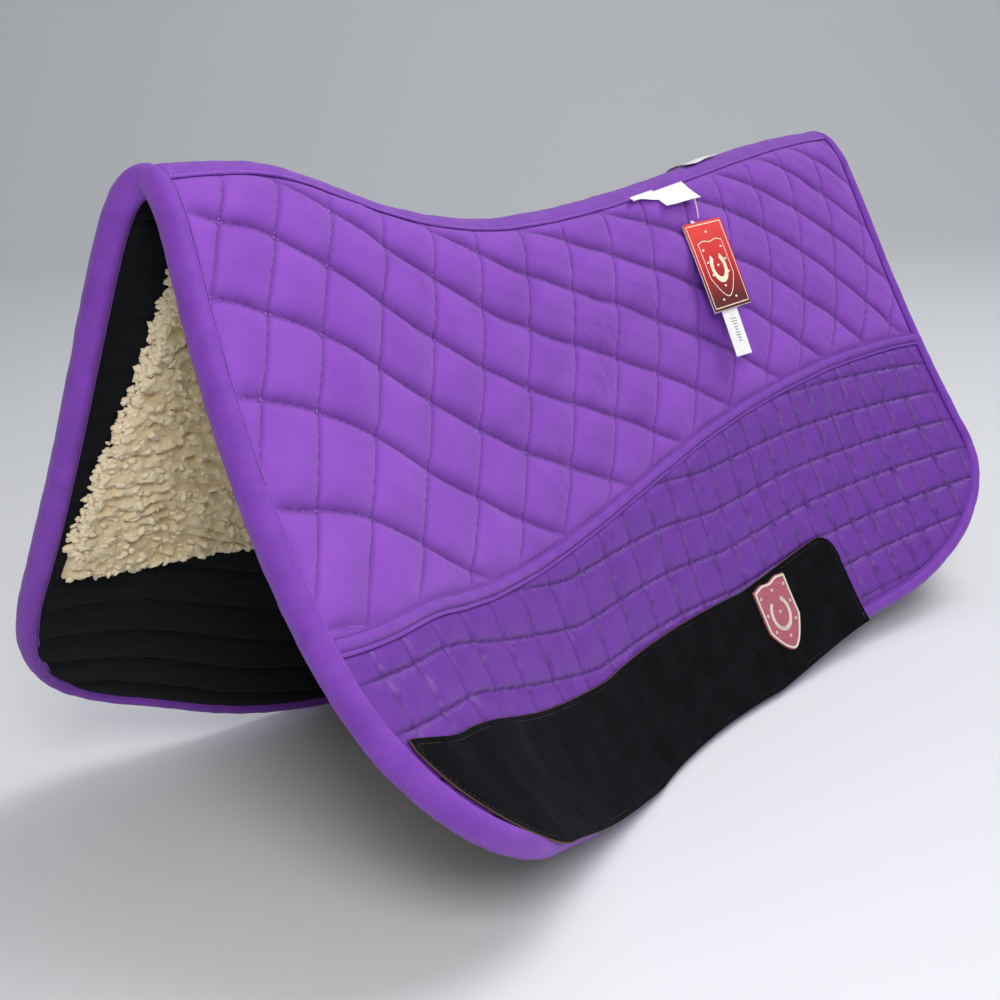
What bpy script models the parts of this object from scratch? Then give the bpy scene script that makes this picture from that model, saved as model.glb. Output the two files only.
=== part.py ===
"""Contoured western saddle pad, standing open as an arch.

Frame: metres, +X towards the horse's head, +Y to the horse's left, +Z up. The
origin is under the middle of the pad, on the surface that the pad stands on.

Every layer is a patch of one curved shape. A place on it is a station, from 0
at the front edge to 1 at the rear edge, and a reach, the distance down from
the spine over the outer face, positive on the left side. A depth counts from
the finished outer face towards the horse.
"""

import math
from functools import lru_cache

import bmesh
import bpy
from mathutils import Matrix, Vector

# Outline
LENGTH = 0.780
DROP_FRONT, DROP_MIDDLE, DROP_REAR = 0.418, 0.3937, 0.4157
CORNER_FRONT = (0.098, 0.1415)
CORNER_REAR = (0.165, 0.111)
FRONT_TRIM, FRONT_TRIM_SPREAD = 0.0075, 0.13

# Spine line
CREST_FRONT, CREST_REAR = 0.4114, 0.3845
CREST_DIP, DIP_STATION = 0.0431, 0.375
WITHERS_RISE, WITHERS_STATION, WITHERS_SPREAD = 0.0080, 0.112, 0.08

# Cross-section: lean of the sides from upright, flare of their lower part
SPINE_ROUNDING = 0.027
LEAN_FRONT, LEAN_MIDDLE, LEAN_REAR = 0.327, 0.173, 0.468
FLARE_FRONT, FLARE_REAR = 0.564, 0.240
FLARE_REACH = 0.400
SWEEP_FRONT = (0.0600, -0.0590)
SWEEP_REAR = (0.0224, 0.0063)
SECTION_STEP = 0.002
SECTION_STEPS = 260

# Foot: the stretch of the lower edge that the pad stands on, made level
FOOT_LENGTHENING, FOOT_STATION, FOOT_SPREAD = 0.004, 0.58, 0.16

# Depths of the layers, as (outer, inner)
COVER_DEPTH = (0.0018, 0.0032)
CORE_DEPTH = (0.0038, 0.0114)
LINING_DEPTH = (0.0120, 0.0132)
FLEECE_DEPTH = (0.0140, 0.0230)
BINDING_DEPTH = (0.0, 0.0150)
TAPE_DEPTH = (0.0, 0.0010)
LEATHER_DEPTH = (-0.0026, -0.0012)
BADGE_DEPTH = (-0.0042, -0.0030)
TOP_LABEL_DEPTH = (-0.0014, -0.0004)

# Sewn pieces
BINDING_WIDTH, BINDING_THICKNESS = 0.016, 0.0010
NOSE_RUN = 0.006
LAYER_INSET = 0.006
TRIM_INSET = 0.0168
HALF_START = 0.012
JOINT_GAP = 0.0003
SPINE_TAPE_HALF = 0.0155
SEAM_HIGH, SEAM_FALL, SEAM_FALL_END = 0.198, 0.063, 0.70
SEAM_REAR_RISE, SEAM_RISE_START = 0.017, 0.72
PIPING_WIDTH = 0.011
FLEECE_INSET, FLEECE_TOP = 0.036, 0.042

# Wear leather, as a strip above the lower edge
LEATHER_HEIGHT, LEATHER_NOSE_RISE, LEATHER_NOSE_END = 0.079, 0.018, 0.09
LEATHER_FRONT, LEATHER_REAR = 0.026, 0.577
LEATHER_CORNER = 0.020
LEATHER_EDGE_INSET = 0.018
LEATHER_INSET_FADE = (0.05, 0.13)
BADGE_PLACE = (0.624, 0.353)
BADGE_SIZE = (0.041, 0.055)
BADGE_SHOULDER = 0.034

# Label, string, tag and ticket
TOP_LABEL_STATIONS = (0.687, 0.754)
TOP_LABEL_REACHES = (-0.016, 0.003)
LABEL_PLACE = (0.621, 0.0160)
LABEL_SIZE = (0.045, 0.018, 0.0010)
LABEL_LIFT = 0.0012
LABEL_TIE_INSET = 0.0045
STRING_RADIUS = 0.0007
TAG_PLACE = (0.6589, 0.0842)
TAG_SIZE = (0.052, 0.0695, 0.0018)
TAG_LIFT = 0.0068
TAG_TURN, TAG_PITCH = math.radians(-5.2), math.radians(9.8)
TICKET_SIZE = (0.0215, 0.1085, 0.0005)
TICKET_RISE = 0.0020
TICKET_TURN = math.radians(-2.1)
PLATE_GAP = 0.0006

# Fineness of the lattice
CORNER_STEPS, STRAIGHT_STEPS = 5, 10
UPPER_ROWS, LOWER_ROWS = 9, 4
ROW_CROWDING = 1.7
NOSE_STEPS = 6
BRIDGE_STEPS = 9


def mix(first, second, share):
    return first + (second - first) * share


def parabola(first, middle, last, share):
    """A curve through three heights at share 0, 0.5 (about) and 1."""
    return mix(first, last, share) + (middle - (first + last) / 2) * 4 * share * (1 - share)


def smoothstep(share):
    share = min(max(share, 0.0), 1.0)
    return share * share * (3 - 2 * share)


def crest_height(station):
    """Height of the spine line: high at the withers, dipped under the saddle seat."""
    before_dip = station < DIP_STATION
    share = station / DIP_STATION if before_dip else (1 - station) / (1 - DIP_STATION)
    rise = math.exp(-(((station - WITHERS_STATION) / WITHERS_SPREAD) ** 2))
    straight = mix(CREST_FRONT, CREST_REAR, station)
    return straight - CREST_DIP * smoothstep(share) + WITHERS_RISE * rise


@lru_cache(maxsize=None)
def section(station):
    """(across, down) at every step of reach, from the spine to past the lower edge."""
    steepest = math.pi / 2 - parabola(LEAN_FRONT, LEAN_MIDDLE, LEAN_REAR, station)
    flare = mix(FLARE_FRONT, FLARE_REAR, station)
    across = down = 0.0
    points = [(across, down)]
    for step in range(SECTION_STEPS):
        reach = (step + 0.5) * SECTION_STEP
        slope = steepest * math.tanh(reach / SPINE_ROUNDING) - flare * (reach / FLARE_REACH) ** 2
        across += math.cos(slope) * SECTION_STEP
        down += math.sin(slope) * SECTION_STEP
        points.append((across, down))
    return points


def sweep(station, reach):
    """How far forward the shape leans at this place."""
    share = reach / FLARE_REACH
    front = SWEEP_FRONT[0] * share + SWEEP_FRONT[1] * share**2
    rear = SWEEP_REAR[0] * share + SWEEP_REAR[1] * share**2
    return mix(front, rear, station)


def shape_point(station, reach):
    """A place on the finished outer face, before the pad is set on its origin."""
    along = abs(reach) / SECTION_STEP
    index = min(int(along), SECTION_STEPS - 1)
    low, high = section(round(station, 7))[index : index + 2]
    across = mix(low[0], high[0], along - index)
    down = mix(low[1], high[1], along - index)
    forward = LENGTH * (0.5 - station) + sweep(station, abs(reach))
    return Vector((forward, math.copysign(across, reach), crest_height(station) - down))


def face_axes(station, reach):
    """Unit vectors at a place: forward, downward over the face, and outward."""
    forward = shape_point(station - 0.002, reach) - shape_point(station + 0.002, reach)
    downward = shape_point(station, reach + 0.002) - shape_point(station, reach - 0.002)
    outward = forward.cross(downward).normalized()
    return forward.normalized(), downward.normalized(), outward


def below_shape(station, reach, depth):
    return shape_point(station, reach) - face_axes(station, reach)[2] * depth


@lru_cache(maxsize=None)
def drop_length(station):
    """Reach of the lower edge, with the part that the pad stands on made level."""
    drop = parabola(DROP_FRONT, DROP_MIDDLE, DROP_REAR, station)
    drop -= FRONT_TRIM * math.exp(-((station / FRONT_TRIM_SPREAD) ** 2))
    height = shape_point(station, drop).z
    off_foot = min(abs(station - FOOT_STATION) / FOOT_SPREAD, 1.0)
    wanted = max(0.0, height - FOOT_LENGTHENING * (1 - off_foot**2) ** 2)
    fall = height - shape_point(station, drop + SECTION_STEP).z
    return drop + (height - wanted) / fall * SECTION_STEP


def edge_reach(station, inset):
    """Reach of the pad's lower edge with its round corners, moved in by inset."""
    full = drop_length(station)
    corners = ((station * LENGTH, CORNER_FRONT), ((1 - station) * LENGTH, CORNER_REAR))
    for distance, (run, rise) in corners:
        if distance < run:
            share = min((run - distance) / (run - inset), 1.0)
            return full - rise + (rise - inset) * math.sqrt(1 - share**2)
    return full - inset


def seam_reach(station):
    """Reach of the seam between the upper cover and the lower skirt."""
    fall = 1 - smoothstep(station / SEAM_FALL_END)
    rear = max(0.0, station - SEAM_RISE_START) / (1 - SEAM_RISE_START)
    return SEAM_HIGH + SEAM_FALL * fall + SEAM_REAR_RISE * rear**2


def lattice_stations(inset):
    """Stations from front to rear, closer together where the corners turn."""
    front_run, rear_run = CORNER_FRONT[0], CORNER_REAR[0]
    turns = [math.pi / 2 * step / CORNER_STEPS for step in range(CORNER_STEPS + 1)]
    front = [front_run - (front_run - inset) * math.cos(turn) for turn in turns]
    rear = [LENGTH - rear_run + (rear_run - inset) * math.cos(turn) for turn in turns]
    straight = [
        mix(front_run, LENGTH - rear_run, step / STRAIGHT_STEPS)
        for step in range(1, STRAIGHT_STEPS)
    ]
    return [distance / LENGTH for distance in front + straight + rear[::-1]]


def upper_reaches(station, first=HALF_START, margin=0.0):
    """Rows from the spine down to the seam, crowded towards the tight bend of the spine."""
    last = seam_reach(station) - margin
    return [
        mix(first, last, (row / UPPER_ROWS) ** ROW_CROWDING) for row in range(UPPER_ROWS + 1)
    ]


def lower_reaches(station, margin=0.0):
    first, last = seam_reach(station) + margin, edge_reach(station, LAYER_INSET)
    return [mix(first, last, row / LOWER_ROWS) for row in range(LOWER_ROWS + 1)]


def full_reaches(station):
    return upper_reaches(station) + lower_reaches(station)[1:]


def edge_path(inset, front_start, rear_start):
    """Places round one side's edge: down the front, along the bottom and up the rear."""
    front_run, front_rise = CORNER_FRONT
    rear_run, rear_rise = CORNER_REAR
    front, rear = inset / LENGTH, 1 - inset / LENGTH
    places = [(front, reach) for reach in upper_reaches(0.0, front_start)]
    for step in range(CORNER_STEPS + 1):
        turn = math.pi / 2 * step / CORNER_STEPS
        station = (front_run - (front_run - inset) * math.cos(turn)) / LENGTH
        rise = (front_rise - inset) * math.sin(turn) - front_rise
        places.append((station, drop_length(station) + rise))
    for step in range(1, STRAIGHT_STEPS):
        station = mix(front_run, LENGTH - rear_run, step / STRAIGHT_STEPS) / LENGTH
        places.append((station, drop_length(station) - inset))
    for step in range(CORNER_STEPS, -1, -1):
        turn = math.pi / 2 * step / CORNER_STEPS
        station = (LENGTH - rear_run + (rear_run - inset) * math.cos(turn)) / LENGTH
        rise = (rear_rise - inset) * math.sin(turn) - rear_rise
        places.append((station, drop_length(station) + rise))
    middle = mix(seam_reach(1.0), drop_length(1.0) - rear_rise, 0.5)
    places.append((rear, middle))
    places += [(rear, reach) for reach in reversed(upper_reaches(1.0, rear_start))]
    return places


def binding_profile():
    """(inset, depth) round the folded tape's cross-section: two legs and a round nose."""
    outer, inner = BINDING_DEPTH
    middle, half = (outer + inner) / 2, (inner - outer) / 2
    turns = [math.pi * (step / NOSE_STEPS - 0.5) for step in range(NOSE_STEPS + 1)]
    outside = [
        (NOSE_RUN * (1 - math.cos(turn)), middle + half * math.sin(turn)) for turn in turns
    ]
    inside = [
        (
            NOSE_RUN - (NOSE_RUN - BINDING_THICKNESS) * math.cos(turn),
            middle + (half - BINDING_THICKNESS) * math.sin(turn),
        )
        for turn in reversed(turns)
    ]
    ends = (BINDING_WIDTH, inner), (BINDING_WIDTH, inner - BINDING_THICKNESS)
    starts = (BINDING_WIDTH, outer + BINDING_THICKNESS), (BINDING_WIDTH, outer)
    return [*outside, *ends, *inside, *starts]


def side_binding_rings():
    """One ring of points per path place, each ring the folded tape's cross-section."""
    profile = binding_profile()
    start = HALF_START
    paths = [edge_path(inset, start, start) for inset, _ in profile]
    return [
        [below_shape(*path[place], depth) for path, (_, depth) in zip(paths, profile)]
        for place in range(len(paths[0]))
    ]


def arch_binding_rings(is_front):
    """The folded tape where it crosses the spine, at the front or the rear edge."""
    half = HALF_START - JOINT_GAP
    rings = []
    for step in range(BRIDGE_STEPS + 1):
        reach = mix(-half, half, step / BRIDGE_STEPS)
        ring = []
        for inset, depth in binding_profile():
            station = inset / LENGTH if is_front else 1 - inset / LENGTH
            ring.append(below_shape(station, reach, depth))
        rings.append(ring)
    return rings


@lru_cache(maxsize=None)
def origin_shift():
    """Moves the pad so that its lowest point is at height 0 and its length is centred."""
    points = [point for ring in side_binding_rings() for point in ring]
    points += [point for end in (True, False) for ring in arch_binding_rings(end) for point in ring]
    along = [point.x for point in points]
    return Vector((-(min(along) + max(along)) / 2, 0, -min(point.z for point in points)))


def face_point(station, reach, depth):
    """A place in the pad's own frame."""
    return below_shape(station, reach, depth) + origin_shift()


def linear(channel):
    return channel / 12.92 if channel <= 0.04045 else ((channel + 0.055) / 1.055) ** 2.4


def material(name, colour, roughness):
    made = bpy.data.materials.get(name)
    if made:
        return made
    made = bpy.data.materials.new(name)
    made.use_nodes = True
    shader = made.node_tree.nodes["Principled BSDF"]
    shader.inputs["Base Color"].default_value = (*(linear(part / 255) for part in colour), 1)
    shader.inputs["Roughness"].default_value = roughness
    shader.inputs["Metallic"].default_value = 0.0
    return made


def twill():
    return material("purple_twill", (156, 97, 201), 0.75)


def satin():
    return material("purple_satin", (125, 70, 170), 0.5)


def ribbed_tape():
    return material("purple_tape", (150, 88, 200), 0.7)


def foam():
    return material("felt_and_foam", (120, 120, 118), 0.95)


def black_lining():
    return material("black_lining", (20, 24, 27), 0.85)


def fleece_pile():
    return material("cream_fleece", (214, 198, 160), 0.95)


def suede():
    return material("black_suede", (29, 29, 36), 0.9)


def badge_cloth():
    return material("badge_rose", (168, 98, 110), 0.8)


def white_satin():
    return material("white_satin", (244, 242, 244), 0.45)


def string_yarn():
    return material("white_string", (232, 230, 226), 0.7)


def ticket_card():
    return material("ticket_card", (240, 240, 240), 0.5)


def printed_card():
    return material("printed_card", (190, 80, 80), 0.5)


def add_object(name, points, faces, finish, mirrored=False):
    """Makes one closed body. A mirrored one is on the horse's right side."""
    shape = bmesh.new()
    side = -1 if mirrored else 1
    corners = [shape.verts.new((point.x, side * point.y, point.z)) for point in points]
    for face in faces:
        shape.faces.new([corners[index] for index in face])
    if shape.calc_volume(signed=True) < 0:
        bmesh.ops.reverse_faces(shape, faces=shape.faces)
    mesh = bpy.data.meshes.new(name)
    shape.to_mesh(mesh)
    shape.free()
    mesh.materials.append(finish)
    mesh.shade_smooth()
    mesh.set_sharp_from_angle(angle=math.radians(40))
    made = bpy.data.objects.new(name, mesh)
    bpy.context.scene.collection.objects.link(made)
    return made


def slab_faces(columns, rows):
    """Faces of a closed slab whose outer and inner points are two equal grids."""
    inner = columns * rows
    faces = []
    for column in range(columns - 1):
        for row in range(rows - 1):
            first = column * rows + row
            last = first + rows + 1
            for corners in ((first, first + 1, last), (first, last, first + rows)):
                faces.append(corners)
                faces.append(tuple(inner + index for index in reversed(corners)))
    rim = [row for row in range(rows)]
    rim += [column * rows + rows - 1 for column in range(1, columns)]
    rim += [(columns - 1) * rows + row for row in range(rows - 2, -1, -1)]
    rim += [column * rows for column in range(columns - 2, 0, -1)]
    for index, first in enumerate(rim):
        second = rim[(index + 1) % len(rim)]
        faces.append((second, first, inner + first, inner + second))
    return faces


def on_origin(rings):
    return [[point + origin_shift() for point in ring] for ring in rings]


def add_layer(name, stations, reaches, depths, finish, mirrored=False):
    """A slab that follows the pad's shape, from stations and a list of reaches for each."""
    rows = [reaches(station) for station in stations]
    points = [
        face_point(station, reach, depth)
        for depth in depths
        for station, row in zip(stations, rows)
        for reach in row
    ]
    faces = slab_faces(len(stations), len(rows[0]))
    return add_object(name, points, faces, finish, mirrored)


def add_tube(name, rings, finish, mirrored=False):
    """A sweep through rings of equal length, closed by its first and last ring."""
    size = len(rings[0])
    points = [point for ring in rings for point in ring]
    faces = [
        (
            ring * size + corner,
            ring * size + (corner + 1) % size,
            (ring + 1) * size + (corner + 1) % size,
            (ring + 1) * size + corner,
        )
        for ring in range(len(rings) - 1)
        for corner in range(size)
    ]
    faces.append(tuple(reversed(range(size))))
    faces.append(tuple((len(rings) - 1) * size + corner for corner in range(size)))
    return add_object(name, points, faces, finish, mirrored)


def even(first, last, steps):
    return [mix(first, last, step / steps) for step in range(steps + 1)]


def add_cover(side, mirrored):
    stations = lattice_stations(LAYER_INSET)
    half_gap = JOINT_GAP / 2
    add_layer(
        side + "_upper_cover",
        stations,
        lambda station: upper_reaches(station, margin=half_gap),
        COVER_DEPTH,
        twill(),
        mirrored,
    )
    add_layer(
        side + "_lower_skirt",
        stations,
        lambda station: lower_reaches(station, margin=half_gap),
        COVER_DEPTH,
        satin(),
        mirrored,
    )


def add_piping(side, mirrored):
    half = PIPING_WIDTH / 2

    def across(station):
        middle = seam_reach(station)
        return [middle - half, middle, middle + half]

    stations = lattice_stations(TRIM_INSET)
    add_layer(side + "_piping_tape", stations, across, TAPE_DEPTH, ribbed_tape(), mirrored)


def add_inner_layers(side, mirrored):
    stations = lattice_stations(LAYER_INSET)
    add_layer(side + "_foam_core", stations, full_reaches, CORE_DEPTH, foam(), mirrored)
    add_layer(side + "_lining", stations, full_reaches, LINING_DEPTH, black_lining(), mirrored)


def add_fleece(side, mirrored):
    def rows(station):
        return upper_reaches(station, FLEECE_TOP, JOINT_GAP)

    stations = lattice_stations(FLEECE_INSET)
    add_layer(side + "_fleece_panel", stations, rows, FLEECE_DEPTH, fleece_pile(), mirrored)


def leather_reaches(station):
    """The wear leather's rows at a station, from its upper to its lower edge."""
    distance = station * LENGTH
    nose = smoothstep((LEATHER_NOSE_END - station) / LEATHER_NOSE_END)
    top = drop_length(station) - LEATHER_HEIGHT - LEATHER_NOSE_RISE * nose
    beyond = min(max(0.0, distance - LEATHER_REAR + LEATHER_CORNER), LEATHER_CORNER)
    top += LEATHER_CORNER - math.sqrt(LEATHER_CORNER**2 - beyond**2)
    fade_start, fade_end = LEATHER_INSET_FADE
    fade = smoothstep((station - fade_start) / (fade_end - fade_start))
    bottom = edge_reach(station, LEATHER_EDGE_INSET * (1 - fade))
    return even(top, bottom, LOWER_ROWS)


def add_wear_leather(side, mirrored):
    run = CORNER_FRONT[0]
    distances = [*even(LEATHER_FRONT, run, CORNER_STEPS)]
    distances += even(run, LEATHER_REAR - LEATHER_CORNER, STRAIGHT_STEPS)[1:]
    turns = even(0, math.pi / 2, CORNER_STEPS)[1:]
    distances += [LEATHER_REAR - LEATHER_CORNER * (1 - math.sin(turn)) for turn in turns]
    stations = [distance / LENGTH for distance in distances]
    name = side + "_wear_leather"
    add_layer(name, stations, leather_reaches, LEATHER_DEPTH, suede(), mirrored)


def add_badge(side, mirrored):
    """A shield: straight top and shoulders, two curves that meet in a point below."""
    middle, reach = BADGE_PLACE
    width, height = BADGE_SIZE
    top = reach - height / 2

    def rows(station):
        share = min(abs(station - middle) * LENGTH / (width / 2), 1.0)
        taper = (height - BADGE_SHOULDER) * (1 - share**1.7)
        return even(top, top + BADGE_SHOULDER + taper, 3)

    half = width / 2 / LENGTH
    stations = even(middle - half, middle + half, 12)
    add_layer(side + "_badge", stations, rows, BADGE_DEPTH, badge_cloth(), mirrored)


def add_side(side, mirrored):
    add_cover(side, mirrored)
    add_piping(side, mirrored)
    add_inner_layers(side, mirrored)
    add_fleece(side, mirrored)
    add_wear_leather(side, mirrored)
    add_badge(side, mirrored)
    rings = on_origin(side_binding_rings())
    add_tube(side + "_edge_binding", rings, ribbed_tape(), mirrored)


def add_spine():
    """The strips that join the two halves and cross the spine."""

    def across(half):
        return lambda station: even(-half, half, BRIDGE_STEPS)

    inner_half = HALF_START - JOINT_GAP
    inner, outer = lattice_stations(LAYER_INSET), lattice_stations(TRIM_INSET)
    add_layer("spine_tape", outer, across(SPINE_TAPE_HALF), TAPE_DEPTH, ribbed_tape())
    add_layer("spine_padding", inner, across(inner_half), CORE_DEPTH, foam())
    add_layer("spine_lining", inner, across(inner_half), LINING_DEPTH, black_lining())
    add_tube("front_arch_binding", on_origin(arch_binding_rings(True)), ribbed_tape())
    add_tube("rear_arch_binding", on_origin(arch_binding_rings(False)), ribbed_tape())
    first, last = TOP_LABEL_REACHES
    add_layer(
        "rear_label",
        even(*TOP_LABEL_STATIONS, 3),
        lambda station: even(first, last, 5),
        TOP_LABEL_DEPTH,
        white_satin(),
    )


def face_frame(station, reach, lift):
    """A frame on the outer face: X forward, Y down the face, Z outward."""
    forward, _, outward = face_axes(station, reach)
    upward = forward.cross(outward)
    frame = Matrix((forward, -upward, outward)).transposed().to_4x4()
    frame.translation = face_point(station, reach, -lift)
    return frame


def slid(frame, x=0.0, y=0.0, z=0.0):
    return frame @ Matrix.Translation((x, y, z))


def turned(frame, angle, axis="Z"):
    return frame @ Matrix.Rotation(angle, 4, axis)


def set_origin(made, frame):
    """Moves an object's origin to a frame, with its shape left where it is."""
    made.data.transform(frame.inverted())
    made.matrix_world = frame


def add_plate(name, frame, size, start, finish):
    """A flat plate that hangs down from the frame's X axis, start below it."""
    width, length, thickness = size
    points = [
        frame @ Vector((x * width / 2, start + y * length, z * thickness))
        for z in (0, 1)
        for x in (-1, 1)
        for y in (0, 1)
    ]
    faces = [(0, 1, 3, 2), (4, 6, 7, 5), (0, 4, 5, 1), (2, 3, 7, 6), (0, 2, 6, 4), (1, 5, 7, 3)]
    set_origin(add_object(name, points, faces, finish), frame)


def add_string(first, last, frame):
    """The straight string from the label's lower edge to the tag's top edge."""
    way = (last - first).normalized()
    across = way.cross(frame.col[2].xyz).normalized()
    outward = across.cross(way)
    turns = [math.pi / 4 * corner for corner in range(8)]
    rings = [
        [
            end + (across * math.cos(turn) + outward * math.sin(turn)) * STRING_RADIUS
            for turn in turns
        ]
        for end in (first + way * PLATE_GAP, last - way * PLATE_GAP)
    ]
    set_origin(add_tube("tag_string", rings, string_yarn()), frame)


def add_tags():
    """The label caught in the spine tape's seam, and the tag and ticket tied to it."""
    label = face_frame(*LABEL_PLACE, LABEL_LIFT)
    add_plate("front_label", label, LABEL_SIZE, 0.0, white_satin())
    tie = slid(label, LABEL_TIE_INSET - LABEL_SIZE[0] / 2, LABEL_SIZE[1], LABEL_SIZE[2] / 2)
    middle = turned(turned(face_frame(*TAG_PLACE, TAG_LIFT), TAG_TURN), TAG_PITCH, "X")
    tag = slid(middle, y=-TAG_SIZE[1] / 2)
    string_end = slid(tag, y=-TICKET_RISE, z=-PLATE_GAP).translation
    string = tag.copy()
    string.translation = tie.translation
    add_string(tie.translation, string_end, string)
    add_plate("hang_tag", tag, TAG_SIZE, 0.0, printed_card())
    ticket = turned(slid(tag, z=-TICKET_SIZE[2] - PLATE_GAP), TICKET_TURN)
    add_plate("price_ticket", ticket, TICKET_SIZE, -TICKET_RISE, ticket_card())


def main():
    for made in list(bpy.data.objects):
        bpy.data.objects.remove(made)
    for side, mirrored in (("left", False), ("right", True)):
        add_side(side, mirrored)
    add_spine()
    add_tags()


main()
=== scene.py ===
import math

import bpy
import numpy as np
from mathutils import Matrix


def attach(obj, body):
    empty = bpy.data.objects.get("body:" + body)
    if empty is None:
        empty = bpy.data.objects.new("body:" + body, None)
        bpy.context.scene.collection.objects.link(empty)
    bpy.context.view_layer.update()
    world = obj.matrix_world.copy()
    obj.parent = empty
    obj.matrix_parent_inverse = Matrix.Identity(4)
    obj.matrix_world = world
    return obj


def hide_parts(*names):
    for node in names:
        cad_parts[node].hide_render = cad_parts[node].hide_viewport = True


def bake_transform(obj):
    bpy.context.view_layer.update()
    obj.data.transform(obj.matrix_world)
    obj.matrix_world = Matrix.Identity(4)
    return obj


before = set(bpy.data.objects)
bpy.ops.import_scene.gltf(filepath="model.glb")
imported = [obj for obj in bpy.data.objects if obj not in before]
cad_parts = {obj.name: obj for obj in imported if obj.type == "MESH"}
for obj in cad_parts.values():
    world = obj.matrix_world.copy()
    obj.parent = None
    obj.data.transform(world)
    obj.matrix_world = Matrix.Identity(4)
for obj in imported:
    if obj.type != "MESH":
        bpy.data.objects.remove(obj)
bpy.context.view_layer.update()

# The shape that every layer follows. A place on it is a station, from 0 at the front
# edge to 1 at the rear edge, and a reach, the distance down from the spine.
# The sizes are part.py's. LENGTH is assumed. Most of the others, and the camera's place,
# came from a separate program that fitted camera and arch to the outline in the photo.
LENGTH = 0.780
DROPS = (0.418, 0.3937, 0.4157)
CORNER_FRONT, CORNER_REAR = (0.098, 0.1415), (0.165, 0.111)
FRONT_TRIM, FRONT_TRIM_SPREAD = 0.0075, 0.13
CREST_FRONT, CREST_REAR, CREST_DIP, DIP_STATION = 0.4114, 0.3845, 0.0431, 0.375
WITHERS_RISE, WITHERS_STATION, WITHERS_SPREAD = 0.0080, 0.112, 0.08
SPINE_ROUNDING = 0.027
LEANS = (0.327, 0.173, 0.468)
FLARES = (0.564, 0.240)
FLARE_REACH = 0.400
SWEEP_FRONT, SWEEP_REAR = (0.0600, -0.0590), (0.0224, 0.0063)
SECTION_STEP, SECTION_STEPS = 0.002, 260
FOOT_LENGTHENING, FOOT_STATION, FOOT_SPREAD = 0.004, 0.58, 0.16
# Copied from the built CAD model, not read from the frame
ORIGIN_SHIFT = np.array((-0.0084646, 0.0, 0.0055786))
TABLE_START, TABLE_STEP, TABLE_SIZE = -0.02, 0.002, 521

# Where the pieces end
LAYER_INSET, BINDING_WIDTH = 0.006, 0.0115
HALF_START, TAPE_HALF = 0.012, 0.0155
TAPE_START = 0.0113
PIPING_HALF = 0.0055


def mix(first, second, share):
    return first + (second - first) * share


def smoothstep(share):
    share = np.clip(share, 0.0, 1.0)
    return share * share * (3 - 2 * share)


def parabola(heights, share):
    first, middle, last = heights
    return mix(first, last, share) + (middle - (first + last) / 2) * 4 * share * (1 - share)


def section_tables():
    """Across and down distances for a lattice of stations and reaches."""
    station = (TABLE_START + TABLE_STEP * np.arange(TABLE_SIZE))[:, None]
    reach = (np.arange(SECTION_STEPS) + 0.5)[None] * SECTION_STEP
    steepest = math.pi / 2 - parabola(LEANS, station)
    slope = steepest * np.tanh(reach / SPINE_ROUNDING)
    slope = slope - mix(*FLARES, station) * (reach / FLARE_REACH) ** 2
    tables = []
    for part in (np.cos(slope), np.sin(slope)):
        grown = np.cumsum(part * SECTION_STEP, axis=1)
        tables.append(np.concatenate([np.zeros((TABLE_SIZE, 1)), grown], axis=1))
    return tables


ACROSS, DOWN = section_tables()


def crest_height(station):
    share = np.where(
        station < DIP_STATION, station / DIP_STATION, (1 - station) / (1 - DIP_STATION)
    )
    rise = np.exp(-(((station - WITHERS_STATION) / WITHERS_SPREAD) ** 2))
    straight = mix(CREST_FRONT, CREST_REAR, station)
    return straight - CREST_DIP * smoothstep(share) + WITHERS_RISE * rise


def shape(station, reach):
    """Points on the finished outer face, in the frame of the CAD model."""
    station, reach = np.broadcast_arrays(np.asarray(station, float), np.asarray(reach, float))
    down = np.abs(reach)
    row = (station - TABLE_START) / TABLE_STEP
    row_index = np.clip(row.astype(int), 0, TABLE_SIZE - 2)
    column = down / SECTION_STEP
    column_index = np.clip(column.astype(int), 0, SECTION_STEPS - 1)
    row_share, column_share = row - row_index, column - column_index

    def read(table):
        near = mix(table[row_index, column_index], table[row_index, column_index + 1], column_share)
        far = mix(
            table[row_index + 1, column_index], table[row_index + 1, column_index + 1], column_share
        )
        return mix(near, far, row_share)

    share = down / FLARE_REACH
    front = SWEEP_FRONT[0] * share + SWEEP_FRONT[1] * share**2
    rear = SWEEP_REAR[0] * share + SWEEP_REAR[1] * share**2
    forward = LENGTH * (0.5 - station) + mix(front, rear, station)
    across = np.where(reach < 0, -read(ACROSS), read(ACROSS))
    points = np.stack([forward, across, crest_height(station) - read(DOWN)], axis=-1)
    return points + ORIGIN_SHIFT


def unit(vectors):
    return vectors / np.linalg.norm(vectors, axis=-1, keepdims=True)


def axes_at(station, reach):
    forward = shape(station - 0.002, reach) - shape(station + 0.002, reach)
    downward = shape(station, reach + 0.002) - shape(station, reach - 0.002)
    return unit(forward), unit(downward), unit(np.cross(forward, downward))


def place(station, reach, depth):
    """Points at a depth below the finished outer face, towards the horse."""
    return shape(station, reach) - axes_at(station, reach)[2] * np.asarray(depth)[..., None]


def make_drop_table():
    station = np.linspace(-0.02, 1.02, 521)
    drop = parabola(DROPS, station)
    drop -= FRONT_TRIM * np.exp(-((station / FRONT_TRIM_SPREAD) ** 2))
    height = shape(station, drop)[:, 2] - ORIGIN_SHIFT[2]
    off_foot = np.minimum(np.abs(station - FOOT_STATION) / FOOT_SPREAD, 1.0)
    wanted = np.maximum(0.0, height - FOOT_LENGTHENING * (1 - off_foot**2) ** 2)
    fall = height - (shape(station, drop + SECTION_STEP)[:, 2] - ORIGIN_SHIFT[2])
    return station, drop + (height - wanted) / fall * SECTION_STEP


DROP_STATIONS, DROP_REACHES = make_drop_table()


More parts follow.
